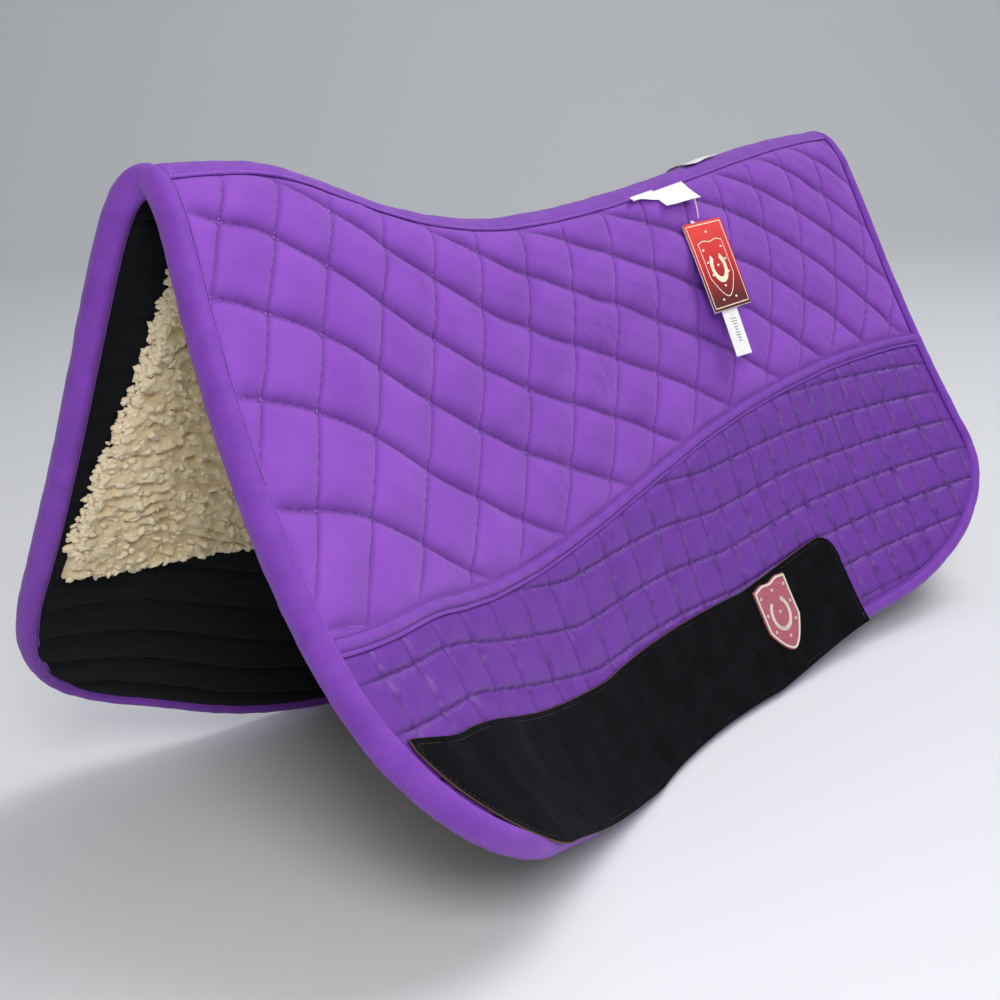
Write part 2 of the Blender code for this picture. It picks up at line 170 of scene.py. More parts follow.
def drop_length(station):
    return np.interp(station, DROP_STATIONS, DROP_REACHES)


def edge_reach(station, inset):
    """Reach of the lower edge with its round corners, moved in by inset."""
    full = drop_length(station)
    reach = full - inset
    for distance, (run, rise) in (
        (station * LENGTH, CORNER_FRONT),
        ((1 - station) * LENGTH, CORNER_REAR),
    ):
        share = np.clip((run - distance) / (run - inset), 0.0, 1.0)
        turned = full - rise + (rise - inset) * np.sqrt(1 - share**2)
        reach = np.where(distance < run, turned, reach)
    return reach


def seam_reach(station):
    fall = 1 - smoothstep(station / 0.70)
    rear = np.maximum(0.0, station - 0.72) / 0.28
    ease = 0.0042 * np.exp(-(((station - 0.09) / 0.05) ** 2))
    ease = ease - 0.0030 * np.exp(-((station / 0.03) ** 2))
    ease = ease - 0.0028 * np.exp(-(((station - 0.32) / 0.11) ** 2))
    return 0.198 + 0.063 * fall + 0.017 * rear**2 + ease


def noise(x, y, cell, seed):
    """A smooth random field from -1 to 1, with features of about one cell."""
    table = np.random.default_rng(seed).uniform(-1, 1, (128, 128))
    across, down = np.asarray(x) / cell, np.asarray(y) / cell
    column, row = np.floor(across).astype(int), np.floor(down).astype(int)
    right, below = smoothstep(across - column), smoothstep(down - row)
    column, row = column % 127, row % 127
    top = mix(table[column, row], table[column + 1, row], right)
    bottom = mix(table[column, row + 1], table[column + 1, row + 1], right)
    return mix(top, bottom, below)


# Quilting of the upper cover: two families of curved seams. A seam lies where the
# family's cubic in the distance along and the reach is a whole number.
# These coefficients are not this script's own work: a separate least-squares program
# fitted them to seam crossings read off the photo. This is a fault.
STEEP_SEAMS = (-1.51, 29.2, 17.35, -16.31, -58.32, -40.95, 8.11, 109.11, 42.36, 96.44)
FALLING_SEAMS = (2.23, -8.67, 25.84, -0.29, 28.77, -31.24, -4.91, 19.8, -27.72, -23.42)
SEAM_STRAY, SEAM_STRAY_CELL = 0.0012, 0.028


def seam_field(family, x, v):
    c = family
    value = c[0] + c[1] * x + c[2] * v + c[3] * x * x + c[4] * x * v + c[5] * v * v
    value += c[6] * x**3 + c[7] * v**3 + c[8] * x * x * v + c[9] * x * v * v
    slope_x = c[1] + 2 * c[3] * x + c[4] * v + 3 * c[6] * x * x + 2 * c[8] * x * v + c[9] * v * v
    slope_v = c[2] + c[4] * x + 2 * c[5] * v + 3 * c[7] * v * v + c[8] * x * x + 2 * c[9] * x * v
    return value, np.hypot(slope_x, slope_v)


def seam_distance(family, x, v):
    value, slope = seam_field(family, x, v)
    return (value - np.round(value)) / slope


def edge_distance(station, reach):
    """Rough distance in from the pad's edge."""
    ends = np.minimum(station, 1 - station) * LENGTH
    return np.minimum(ends, np.maximum(edge_reach(station, 0.0) - reach, 0.0))


def cloth_warp(x, v):
    """How far a hand-guided seam of the cover strays, along and down."""
    return [SEAM_STRAY * noise(x, v, SEAM_STRAY_CELL, seed) for seed in (11, 12)]


def cover_depth(station, reach):
    """Depth of the quilted outer face of the upper cover, and a mask of painted shade in its seam valleys.
    """
    x, v = station * LENGTH, reach
    stray_x, stray_v = cloth_warp(x, v)
    steep = np.abs(seam_distance(STEEP_SEAMS, x + stray_x, v + stray_v))
    falling = seam_distance(FALLING_SEAMS, x + stray_x, v + stray_v)
    above = falling < 0
    falling = np.abs(falling)
    wide = np.where(above, 0.0050, 0.0024)
    crown = (1 - np.exp(-steep / 0.0075)) * (1 - np.exp(-falling / np.where(above, 0.0110, 0.0065)))
    depth = 0.0008 - 0.0036 * crown
    depth += 0.0019 * np.exp(-((steep / 0.0011) ** 1.4))
    depth += 0.0024 * np.exp(-((falling / wide) ** 1.5))
    ripple = noise((x + v) * 0.55, (x - v) * 2.4, 0.0085, 21) * np.clip(
        noise(x, v, 0.045, 22) + 0.15, 0, 1
    )
    ripple2 = noise((x - v) * 0.5, (x + v) * 2.1, 0.0065, 23) * np.clip(
        noise(x, v, 0.038, 24), 0, 1
    )
    pucker = noise(x, v, 0.0032, 25) * np.exp(-falling / 0.003)
    depth -= 0.00060 * ripple + 0.00045 * ripple2 + 0.00014 * pucker
    depth -= 0.00030 * noise(x, v, 0.017, 26) + 0.0005 * noise(x, v, 0.05, 27)
    near_end = np.exp(-np.maximum(edge_distance(station, reach) - BINDING_WIDTH, 0) / 0.004)
    end_pleats = noise(x * 0.6, v * 1.9, 0.0052, 28) * np.exp(
        -np.maximum(x - BINDING_WIDTH, 0) / 0.018
    )
    depth -= 0.0005 * end_pleats
    near_tape = np.exp(-np.maximum(np.abs(v) - TAPE_HALF, 0) / 0.0035)
    near_piping = np.exp(-np.maximum(seam_reach(station) - PIPING_HALF - v, 0) / 0.0040)
    hold = np.clip(np.maximum(np.maximum(near_end, near_tape), near_piping), 0, 1)
    # Painted shade: darkest along the seams, written to the lift attribute for the twill to darken.
    shade = 0.85 * np.exp(-((steep / 0.0010) ** 1.3))
    shade += np.exp(-((falling / np.where(above, 0.0030, 0.0013)) ** 1.4))
    return np.clip(mix(depth, 0.0024, hold), -0.0036, 0.0036), np.clip(shade * (1 - hold), 0, 1)


# Quilting of the skirt: rows along the lower edge, and cross lines
ROW_PITCHES = ((0.0, 0.5, 1.0), (0.0290, 0.0315, 0.0272))
ROW_OFFSETS = ((0.0, 0.28, 0.5, 1.0), (0.0, -0.0045, -0.0100, -0.0137))
CROSS_FIRST = 0.043
CROSS_PITCH = (
    (0.0, 0.10, 0.20, 0.36, 0.50, 0.60, 0.70, 0.86, 0.95, 1.0),
    (0.0295, 0.034, 0.038, 0.036, 0.030, 0.0265, 0.0228, 0.0215, 0.030, 0.031),
)
CROSS_STATIONS = np.linspace(0, 1, 1001)
CROSS_COUNTS = np.cumsum(LENGTH / 1000 / np.interp(CROSS_STATIONS, *CROSS_PITCH))
CROSS_COUNTS -= np.interp(CROSS_FIRST, CROSS_STATIONS, CROSS_COUNTS)


def row_pitch(station):
    return np.interp(station, *ROW_PITCHES)


def row_reach(station, number):
    """Reach of a row seam: parallel to the piping at the front, to the edge further back."""
    pitch = row_pitch(station)
    front = seam_reach(station) + 0.0206 + (4 - number) * pitch
    rear = drop_length(station) - np.interp(station, *ROW_OFFSETS) - number * pitch
    return mix(front, rear, smoothstep((station - 0.06) / 0.34))


def skirt_rows(station, reach):
    return (row_reach(station, 0) - reach) / row_pitch(station)


def skirt_depth(station, reach):
    """Depth of the box-quilted satin below the seam, and a mask of painted shade in its seam valleys."""
    x, v = station * LENGTH, reach
    rows = skirt_rows(station, reach)
    below = (rows - np.round(rows)) * row_pitch(station)
    wave = 0.0011 * noise(x, v, 0.012, 31)
    crosses = np.interp(station + wave / LENGTH, CROSS_STATIONS, CROSS_COUNTS)
    beside = (crosses - np.round(crosses)) * np.interp(station, *CROSS_PITCH)
    row_gap, cross_gap = np.abs(below), np.abs(beside)
    crown = (1 - np.exp(-row_gap / 0.0045)) * (1 - np.exp(-cross_gap / 0.0060))
    depth = 0.0008 - 0.0022 * crown
    depth += 0.0016 * np.exp(-((row_gap / 0.0013) ** 1.4))
    depth += 0.0009 * np.exp(-((cross_gap / 0.0010) ** 1.5))
    ridge = np.exp(-(((beside - 0.0027) / 0.0010) ** 2)) * (0.75 + 0.7 * noise(x, v, 0.0045, 32))
    depth -= 0.0016 * ridge
    under = np.where(below < 0, np.exp(below / 0.0042), 0.7 * np.exp(-below / 0.0022))
    teeth = np.sin(2 * math.pi * (x + 0.25 * below + 0.0011 * noise(x, v, 0.008, 33)) / 0.0038)
    depth -= 0.0011 * teeth * under * (1 - np.exp(-((row_gap / 0.0008) ** 2)))
    depth -= 0.00018 * noise(x * 2.2, v * 0.6, 0.0070, 34) + 0.0003 * noise(x, v, 0.02, 35)
    ends = np.minimum(station, 1 - station) * LENGTH - BINDING_WIDTH
    plain = np.exp(-((np.maximum(ends, 0) / 0.012) ** 3))
    low_hold = np.exp(-np.maximum(edge_distance(station, reach) - BINDING_WIDTH, 0) / 0.0045)
    depth = mix(depth, 0.0006, plain)
    top_hold = np.exp(-np.maximum(v - seam_reach(station) - PIPING_HALF, 0) / 0.0028)
    hold = np.clip(np.maximum(low_hold, top_hold), 0, 1)
    depth = np.clip(mix(depth, 0.0022, hold), -0.0026, 0.0034)
    leather = leather_cover(station, reach)
    # Painted shade: darkest along the rows and cross lines, written to the lift attribute for the satin to
    # darken.
    shade = 0.9 * np.exp(-((row_gap / 0.0011) ** 1.3))
    shade = shade + 0.6 * np.exp(-((cross_gap / 0.0010) ** 1.3))
    return np.maximum(depth, mix(-0.01, 0.0004, leather)), np.clip(shade, 0, 1)


LEATHER_FRONT, LEATHER_REAR, LEATHER_CORNER = 0.0205, 0.577, 0.020


def leather_top(station):
    nose = smoothstep((0.09 - station) / 0.09)
    top = drop_length(station) - 0.079 - 0.018 * nose
    beyond = np.clip(station * LENGTH - LEATHER_REAR + LEATHER_CORNER, 0, LEATHER_CORNER)
    return top + LEATHER_CORNER - np.sqrt(LEATHER_CORNER**2 - beyond**2)


def leather_bottom(station):
    fade = smoothstep((station - 0.05) / 0.08)
    return edge_reach(station, 0.0125 * (1 - fade))


def leather_cover(station, reach):
    """1 where the wear leather lies, 0 away from it."""
    x = station * LENGTH
    inside_x = smoothstep((x - LEATHER_FRONT + 0.004) / 0.003)
    inside_x = inside_x * smoothstep((LEATHER_REAR + 0.001 - x) / 0.002)
    return inside_x * smoothstep((reach - leather_top(station) + 0.002) / 0.002)


# Mesh making
def add_mesh(name, points, faces, material, mirrored=False, cloth=None, sharp=50, painted_shade_mix=None):
    points = np.array(points, float).reshape(-1, 3)
    if mirrored:
        points[:, 1] *= -1
        faces = [tuple(reversed(face)) for face in faces]
    mesh = bpy.data.meshes.new(name)
    mesh.from_pydata(points.tolist(), [], faces)
    if cloth is not None:
        flat = np.array(cloth, np.float32).reshape(-1, 3)
        mesh.attributes.new("cloth", "FLOAT_VECTOR", "POINT").data.foreach_set(
            "vector", flat.ravel()
        )
    # The lift attribute holds a painted shade mix: seam-valley shade on the quilts, pile and tuft shade on
    # the fleece.
    if painted_shade_mix is not None:
        mesh.attributes.new("lift", "FLOAT", "POINT").data.foreach_set(
            "value", np.array(painted_shade_mix, np.float32).ravel()
        )
    mesh.materials.append(material)
    mesh.shade_smooth()
    if sharp:
        mesh.set_sharp_from_angle(angle=math.radians(sharp))
    made = bpy.data.objects.new(name, mesh)
    bpy.context.scene.collection.objects.link(made)
    return made


BACK_STRIDE = 4


def grid_faces(columns, rows, first=0, flip=False):
    index = first + np.arange(columns * rows).reshape(columns, rows)
    corners = [index[:-1, :-1], index[:-1, 1:], index[1:, 1:], index[1:, :-1]]
    if flip:
        corners.reverse()
    return np.stack(corners, axis=-1).reshape(-1, 4).tolist()


def slab(name, station, reach, front, back, material, mirrored=False, painted_shade_mix=None):
    """A closed layer: a fine front face, a coarser back face, and a rim between them.

    station and reach are grids with 4n+1 columns and rows. front and back are depths.
    """
    columns, rows = station.shape
    faces_horse = np.mean(front) > np.mean(back)
    front_points = place(station, reach, front)
    step = BACK_STRIDE
    back_points = place(station[::step, ::step], reach[::step, ::step], back[::step, ::step])
    back_columns, back_rows = back_points.shape[:2]
    start = columns * rows
    faces = grid_faces(columns, rows, 0, faces_horse)
    faces += grid_faces(back_columns, back_rows, start, not faces_horse)

    def edge(front_line, back_line):
        for piece in range(len(back_line) - 1):
            run = front_line[piece * step : piece * step + step + 1]
            face = [*run, back_line[piece + 1], back_line[piece]]
            faces.append(face[::-1] if faces_horse else face)

    fine = np.arange(start).reshape(columns, rows)
    coarse = start + np.arange(back_columns * back_rows).reshape(back_columns, back_rows)
    edge(fine[0, ::-1].tolist(), coarse[0, ::-1].tolist())
    edge(fine[:, 0].tolist(), coarse[:, 0].tolist())
    edge(fine[-1].tolist(), coarse[-1].tolist())
    edge(fine[::-1, -1].tolist(), coarse[::-1, -1].tolist())
    points = np.concatenate([front_points.reshape(-1, 3), back_points.reshape(-1, 3)])
    cloth = np.stack([station * LENGTH, reach, np.asarray(front)], axis=-1)
    cloth = np.concatenate([cloth.reshape(-1, 3), cloth[::step, ::step].reshape(-1, 3)])
    # The per-point painted shade, when given, goes to the lift attribute.
    lift = None
    if painted_shade_mix is not None:
        lift = np.concatenate([painted_shade_mix.ravel(), painted_shade_mix[::step, ::step].ravel()])
    return add_mesh(name, points, faces, material, mirrored, cloth, 50, lift)


def steps_for(length, pitch):
    """A number of points, 4n+1, that splits a length into steps of about one pitch."""
    return 4 * max(1, round(length / pitch / 4)) + 1


def station_line(inset, pitch):
    """Stations from edge to edge, closer together where the lower corners turn."""
    front_run, rear_run = CORNER_FRONT[0], CORNER_REAR[0]
    front_count = round((front_run - inset) * 1.7 / pitch)
    rear_count = round((rear_run - inset) * 1.3 / pitch)
    front = front_run - (front_run - inset) * np.cos(np.linspace(0, math.pi / 2, front_count + 1))
    rear_turn = np.linspace(0, math.pi / 2, rear_count + 1)
    rear = LENGTH - rear_run + (rear_run - inset) * np.sin(rear_turn)
    middle_count = steps_for(LENGTH - front_run - rear_run, pitch) - 1
    middle_count += (-(front_count + rear_count + middle_count)) % 4
    middle = np.linspace(front_run, LENGTH - rear_run, middle_count + 1)
    return np.concatenate([front[:-1], middle, rear[1:]]) / LENGTH


def panel_grid(stations, first, last, rows):
    station = np.repeat(stations[:, None], rows, axis=1)
    share = np.linspace(0, 1, rows)[None]
    reach = mix(first(stations)[:, None], last(stations)[:, None], share)
    return station, reach


def split_outline(outline):
    """The two columns of an outline given in millimetres, in metres."""
    return (np.array(outline) / 1000).T


def tube(name, rings, material, mirrored=False, cloth=None, closed=False, sharp=0):
    """A sweep through rings, an array of ring, corner and coordinate."""
    count, size = rings.shape[:2]
    index = np.arange(count * size).reshape(count, size)
    if closed:
        index = np.concatenate([index, index[:1]])
    following = np.roll(index, -1, axis=1)
    corners = [index[:-1], following[:-1], following[1:], index[1:]]
    faces = np.stack(corners, axis=-1).reshape(-1, 4).tolist()
    if not closed:
        faces.append(index[0, ::-1].tolist())
        faces.append(index[-1].tolist())
    if signed_volume(rings, closed) < 0:
        faces = [tuple(reversed(face)) for face in faces]
    return add_mesh(name, rings, faces, material, mirrored, cloth, sharp)


def signed_volume(rings, closed):
    following = np.roll(rings, -1, axis=1)
    after = np.roll(rings, -1, axis=0)
    after_following = np.roll(after, -1, axis=1)
    if not closed:
        rings, following, after, after_following = (
            part[:-1] for part in (rings, following, after, after_following)
        )
    centre = rings.reshape(-1, 3).mean(0)
    a, b, c, d = (part - centre for part in (rings, following, after_following, after))
    total = np.einsum("ijk,ijk->", a, np.cross(b, c)) + np.einsum("ijk,ijk->", a, np.cross(c, d))
    return total


def along_line(points, pitch):
    """Even places on a line, as fractional indices of its points."""
    gaps = np.linalg.norm(np.diff(points, axis=0), axis=1)
    length = np.concatenate([[0], np.cumsum(gaps)])
    places = np.arange(pitch / 2, length[-1], pitch)
    return np.interp(places, length, np.arange(len(points)))


def read_line(values, index):
    low = np.clip(index.astype(int), 0, len(values) - 2)
    share = index - low
    if values.ndim > 1:
        share = share[:, None]
    return mix(values[low], values[low + 1], share)


def stitch_object(name, lines, pitch, size, material, mirrored=False):
    """Raised stitches along lines. A line is (points, outward normals)."""
    length, width, height = size
    turn = np.arange(5) * 2 * math.pi / 5
    rings = [(-0.5, 0.0), (-0.36, 0.75), (0.0, 1.0), (0.36, 0.75), (0.5, 0.0)]
    template = []
    for along, swell in rings:
        if swell == 0.0:
            template.append((along, 0.0, 0.0))
            continue
        template += [(along, math.cos(a) * swell / 2, math.sin(a) * swell / 2) for a in turn]
    template = np.array(template) * (length, width, height)
    faces = []
    for corner in range(5):
        after = (corner + 1) % 5
        faces.append((0, 1 + after, 1 + corner))
        for ring in (1, 6):
            faces.append((ring + corner, ring + after, ring + 5 + after, ring + 5 + corner))
        faces.append((11 + corner, 11 + after, 16))
    centres, tangents, normals = [], [], []
    for points, outward in lines:
        index = along_line(points, pitch)
        if len(index) == 0:
            continue
        ahead = read_line(points, np.minimum(index + 0.4, len(points) - 1.001))
        behind = read_line(points, np.maximum(index - 0.4, 0))
        centres.append(read_line(points, index))
        tangents.append(unit(ahead - behind))
        normals.append(unit(read_line(outward, index)))
    centre, tangent, normal = (np.concatenate(part) for part in (centres, tangents, normals))
    across = unit(np.cross(normal, tangent))
    normal = np.cross(tangent, across)
    points = (
        centre[:, None]
        + tangent[:, None] * template[None, :, :1]
        + across[:, None] * template[None, :, 1:2]
        + normal[:, None] * template[None, :, 2:3]
    )
    starts = np.arange(len(centre))[:, None, None] * len(template)
    made_faces = []
    for corners in (4, 3):
        kind = np.array([face for face in faces if len(face) == corners])
        made_faces += (kind[None] + starts).reshape(-1, corners).tolist()
    return add_mesh(name, points, made_faces, material, mirrored, sharp=0)


def cord_rings(points, normals, sides, half_width, half_height):
    """Rings of a low closed cord along a closed line of points."""
    along = unit(np.roll(points, -1, axis=0) - np.roll(points, 1, axis=0))
    aside = unit(np.cross(normals, along))
    turn = np.arange(sides) * 2 * math.pi / sides
    return (
        points[:, None]
        + aside[:, None] * (np.cos(turn) * half_width)[None, :, None]
        + normals[:, None] * (np.sin(turn) * half_height)[None, :, None]
    )


def face_line(station, reach, depth):
    return place(station, reach, depth), axes_at(station, reach)[2]


def falling_line(number, stations):
    """Reach of one falling seam at each station."""
    probe = np.linspace(0, 0.30, 301)
    reaches = []
    for station in stations:
        values = seam_field(FALLING_SEAMS, station * LENGTH, probe)[0]
        reaches.append(np.interp(number, values, probe, left=-1, right=9))
    return np.array(reaches)


def steep_line(number, reaches):
    probe = np.linspace(0, LENGTH, 781)
    stations = []
    for reach in reaches:
        values = seam_field(STEEP_SEAMS, probe, reach)[0]
        stations.append(np.interp(number, values, probe, left=-1, right=9) / LENGTH)
    return np.array(stations)


def cover_seam_lines():
    """Stitch lines of the cover, cut where they meet the tape, piping or binding."""
    lines = []
    for number in range(-4, 14):
        stations = np.linspace(0.022, 0.978, 400)
        reaches = falling_line(number, stations)
        keep_part(lines, stations, reaches)
    for number in range(-1, 19):
        reaches = np.linspace(TAPE_HALF, 0.262, 140)
        stations = steep_line(number, reaches)
        keep_part(lines, stations, reaches)
    return lines


def keep_part(lines, stations, reaches):
    margin = BINDING_WIDTH / LENGTH + 0.001
    inside = (stations > margin) & (stations < 1 - margin)
    inside &= (reaches > TAPE_HALF + 0.001) & (reaches < seam_reach(stations) - PIPING_HALF - 0.001)
    if inside.sum() < 6:
        return
    x, v = stations[inside] * LENGTH, reaches[inside]
    stray_x, stray_v = cloth_warp(x, v)
    moved_x, moved_v = x - stray_x, v - stray_v
    depth = cover_depth(moved_x / LENGTH, moved_v)[0] - 0.00012
    lines.append(face_line(moved_x / LENGTH, moved_v, depth))


def skirt_seam_lines():
    lines = []
    stations = np.linspace(0.02, 0.98, 900)
    for number in range(0, 9):
        reaches = row_reach(stations, number)
        inside = reaches < edge_reach(stations, BINDING_WIDTH + 0.001)
        inside &= reaches > seam_reach(stations) + PIPING_HALF + 0.001
        inside &= leather_cover(stations, reaches) < 0.5
        split = np.split(np.arange(len(stations)), np.where(~inside)[0])
        for part in split:
            part = part[inside[part]]
            if len(part) > 12:
                s, v = stations[part], reaches[part]
                lines.append(face_line(s, v, skirt_depth(s, v)[0] - 0.00010))
    return lines


# Materials
def srgb(red, green, blue):
    channels = [part / 255 for part in (red, green, blue)]
    linear = [c / 12.92 if c <= 0.04045 else ((c + 0.055) / 1.055) ** 2.4 for c in channels]
    return (*linear, 1)


class Tree:
    """Short ways to make nodes of one material."""

    def __init__(self, name, roughness, sheen=0.0, sheen_tint=None, specular=0.3):
        self.material = bpy.data.materials.new(name)
        self.material.use_nodes = True
        self.tree = self.material.node_tree
        self.shader = self.tree.nodes["Principled BSDF"]
        self.shader.inputs["Roughness"].default_value = roughness
        self.shader.inputs["Specular IOR Level"].default_value = specular
        self.shader.inputs["Sheen Weight"].default_value = sheen
        self.shader.inputs["Sheen Roughness"].default_value = 0.45
        if sheen_tint:
            self.shader.inputs["Sheen Tint"].default_value = sheen_tint
        source = self.tree.nodes.new("ShaderNodeAttribute")
        source.attribute_name = "cloth"
        self.cloth = source.outputs["Vector"]

    def node(self, kind, inputs, **settings):
        made = self.tree.nodes.new("ShaderNode" + kind)
        for key, value in settings.items():
            setattr(made, key, value)
        for key, value in inputs.items():
            if isinstance(value, bpy.types.NodeSocket):
                self.tree.links.new(value, made.inputs[key])
            else:
                made.inputs[key].default_value = value
        return made

    def math(self, operation, first, second=0.0, third=0.0):
        made = self.node("Math", {0: first, 1: second, 2: third}, operation=operation)
        return made.outputs[0]

    def noise(self, scale, detail=2.0, stretch=(1, 1, 1), roughness=0.5):
        vector = self.node("Mapping", {"Vector": self.cloth, "Scale": stretch}).outputs[0]
        inputs = {"Vector": vector, "Scale": scale, "Detail": detail, "Roughness": roughness}
        return self.node("TexNoise", inputs).outputs["Fac"]

    def stripes(self, direction, pitch, warp=0.0):
        """A sine from 0 to 1 along a direction of the cloth."""
        along = self.node("VectorMath", {0: self.cloth, 1: direction}, operation="DOT_PRODUCT")
        value = along.outputs["Value"]
        if warp:
            shift = self.math("SUBTRACT", self.noise(220.0, 1.0), 0.5)
            value = self.math("ADD", value, self.math("MULTIPLY", shift, warp))
        wave = self.math("SINE", self.math("MULTIPLY", value, 2 * math.pi / pitch))
        return self.math("MULTIPLY_ADD", wave, 0.5, 0.5)

    def blend(self, share, first, second):
        made = self.tree.nodes.new("ShaderNodeMix")
        made.data_type = "RGBA"
        wanted = (made.inputs[0], share), (made.inputs[6], first), (made.inputs[7], second)
        for socket, value in wanted:
            if isinstance(value, bpy.types.NodeSocket):
                self.tree.links.new(value, socket)
            else:
                socket.default_value = value
        return made.outputs[2]

    def shaded(self, colour, dark):
        """Painted shade: darkens a colour where the mesh's lift attribute is high, in the seam valleys of
        the quilt.
        """
        source = self.tree.nodes.new("ShaderNodeAttribute")
        source.attribute_name = "lift"
        return self.blend(self.math("MULTIPLY", source.outputs["Fac"], 0.85), colour, dark)

    def ramp(self, value, low, high):
        made = self.node("MapRange", {"Value": value, "From Min": low, "From Max": high})
        return made.outputs[0]

    def finish(self, colour, height=None, strength=0.5, distance=0.0005, roughness=None):
        self.tree.links.new(colour, self.shader.inputs["Base Color"])
        if roughness is not None:
            self.tree.links.new(roughness, self.shader.inputs["Roughness"])
        if height is not None:
            inputs = {"Height": height, "Strength": strength, "Distance": distance}
            bump = self.node("Bump", inputs)
            self.tree.links.new(bump.outputs[0], self.shader.inputs["Normal"])
        return self.material


def twill_material():
    made = Tree("quilted_twill", 0.78, 0.22, (0.85, 0.55, 1.0, 1), 0.25)
    weave = made.stripes((0.7071, 0.7071, 0), 0.00095, 0.00018)
    cross = made.stripes((0.7071, -0.7071, 0), 0.00052)
    fuzz = made.noise(2600.0, 2.0)
    broad = made.noise(26.0, 3.0)
    colour = made.blend(made.ramp(broad, 0.3, 0.7), srgb(118, 57, 166), srgb(132, 69, 182))
    thread = made.math("MULTIPLY_ADD", weave, 0.6, made.math("MULTIPLY", cross, 0.25))
    colour = made.blend(made.math("MULTIPLY", thread, 0.38), colour, srgb(152, 92, 200))
    flecks = made.math("MULTIPLY", made.ramp(fuzz, 0.55, 0.8), 0.35)
    colour = made.blend(flecks, colour, srgb(170, 116, 214))
    # Painted shade in the seam valleys, from the lift attribute.
    colour = made.shaded(colour, srgb(72, 30, 112))
    height = made.math("MULTIPLY_ADD", fuzz, 0.8, thread)
    return made.finish(colour, height, 0.45, 0.00022)


def satin_material():
    made = Tree("box_quilted_satin", 0.5, 0.14, (0.8, 0.5, 1.0, 1), 0.45)
    threads = made.noise(900.0, 2.0, (0.35, 2.6, 1))
    fine = made.stripes((0, 1, 0), 0.00055, 0.0001)
    broad = made.noise(60.0, 2.0)
    colour = made.blend(made.ramp(broad, 0.3, 0.7), srgb(88, 33, 136), srgb(102, 42, 152))
    colour = made.blend(made.math("MULTIPLY", threads, 0.35), colour, srgb(130, 68, 184))
    # Painted shade in the seam valleys, from the lift attribute.
    colour = made.shaded(colour, srgb(62, 24, 102))
    height = made.math("MULTIPLY_ADD", fine, 0.5, threads)
    rough = made.math("MULTIPLY_ADD", threads, 0.22, 0.36)
    return made.finish(colour, height, 0.35, 0.0002, rough)


def tape_material():
    made = Tree("ribbed_tape", 0.7, 0.22, (0.85, 0.6, 1.0, 1), 0.3)
    ribs = made.stripes((1, 0, 0), 0.0011, 0.0002)
    broad = made.noise(70.0, 3.0)
    lint = made.noise(1500.0, 3.0, (1, 1, 1), 0.7)
    colour = made.blend(made.ramp(broad, 0.3, 0.7), srgb(104, 44, 154), srgb(120, 58, 172))
    colour = made.blend(made.math("MULTIPLY", ribs, 0.35), colour, srgb(142, 80, 194))
    flecks = made.math("MULTIPLY", made.ramp(lint, 0.66, 0.76), 0.35)
    colour = made.blend(flecks, colour, srgb(196, 158, 224))
    height = made.math("MULTIPLY_ADD", lint, 0.5, ribs)
    return made.finish(colour, height, 0.5, 0.00028)


def plain_material(name, low, high, roughness, scale=400.0, sheen=0.1, specular=0.3, bump=0.0001):
    made = Tree(name, roughness, sheen, None, specular)
    grain = made.noise(scale, 3.0)
    colour = made.blend(made.ramp(grain, 0.3, 0.7), low, high)
    return made.finish(colour, grain, 0.4, bump)


def lining_material():
    made = Tree("black_lining", 0.9, 0.03, None, 0.12)
    weave = made.stripes((1, 0, 0), 0.0012, 0.0002)
    fuzz = made.noise(700.0, 4.0, (0.5, 2.0, 1), 0.65)
    colour = made.blend(made.ramp(fuzz, 0.35, 0.75), srgb(5, 7, 9), srgb(20, 26, 30))
    lint = made.ramp(made.noise(1100.0, 2.0), 0.72, 0.78)
    colour = made.blend(made.math("MULTIPLY", lint, 0.3), colour, srgb(90, 94, 92))
    height = made.math("MULTIPLY_ADD", weave, 0.4, fuzz)
    return made.finish(colour, height, 0.5, 0.0003)


def fleece_material():
    made = Tree("cream_fleece", 0.95, 0.5, (1.0, 0.95, 0.82, 1), 0.15)
    lift = made.tree.nodes.new("ShaderNodeAttribute")
    lift.attribute_name = "lift"
    strands = made.noise(620.0, 4.0, (1, 1, 1), 0.7)
    broad = made.noise(38.0, 2.0)
    # Painted shade: darker deep in the pile, lighter on the tops of the curls, mixed by the lift attribute.
    deep = made.blend(made.ramp(broad, 0.3, 0.7), srgb(196, 172, 122), srgb(214, 192, 148))
    high = made.blend(made.ramp(strands, 0.3, 0.75), srgb(226, 208, 170), srgb(248, 238, 214))
    colour = made.blend(lift.outputs["Fac"], deep, high)
    return made.finish(colour, strands, 0.9, 0.0012)


def suede_material():
    made = Tree("black_suede", 0.95, 0.02, (0.75, 0.8, 1.0, 1), 0.10)
    nap = made.noise(42.0, 4.0, (1, 1, 1), 0.6)
    nap_fine = made.noise(240.0, 3.0, (1.0, 1.6, 1), 0.7)
    specks = made.noise(1300.0, 2.0, (1, 1, 1), 0.8)
    colour = made.blend(made.ramp(nap, 0.36, 0.66), srgb(4, 4, 6), srgb(13, 13, 17))
    flecks = made.math("MULTIPLY", made.ramp(nap_fine, 0.5, 0.8), 0.4)
    colour = made.blend(flecks, colour, srgb(27, 27, 33))
    flecks = made.math("MULTIPLY", made.ramp(specks, 0.70, 0.8), 0.35)
    colour = made.blend(flecks, colour, srgb(90, 86, 88))
    height = made.math("MULTIPLY_ADD", nap_fine, 0.8, specks)
    return made.finish(colour, height, 0.6, 0.0004)


def tag_material():
    made = Tree("printed_card_front", 0.38, 0.0, None, 0.5)
    down = made.node("SeparateXYZ", {0: made.cloth}).outputs[1]
    stray = made.math("MULTIPLY", made.noise(60.0), 0.003)
    share = made.ramp(made.math("ADD", down, stray), 0.0, 0.0695)
    upper = made.blend(made.ramp(share, 0.0, 0.55), srgb(236, 74, 66), srgb(196, 36, 44))
    colour = made.blend(made.ramp(share, 0.5, 0.9), upper, srgb(96, 30, 30))
    return made.finish(colour, made.noise(900.0), 0.1, 0.0001)


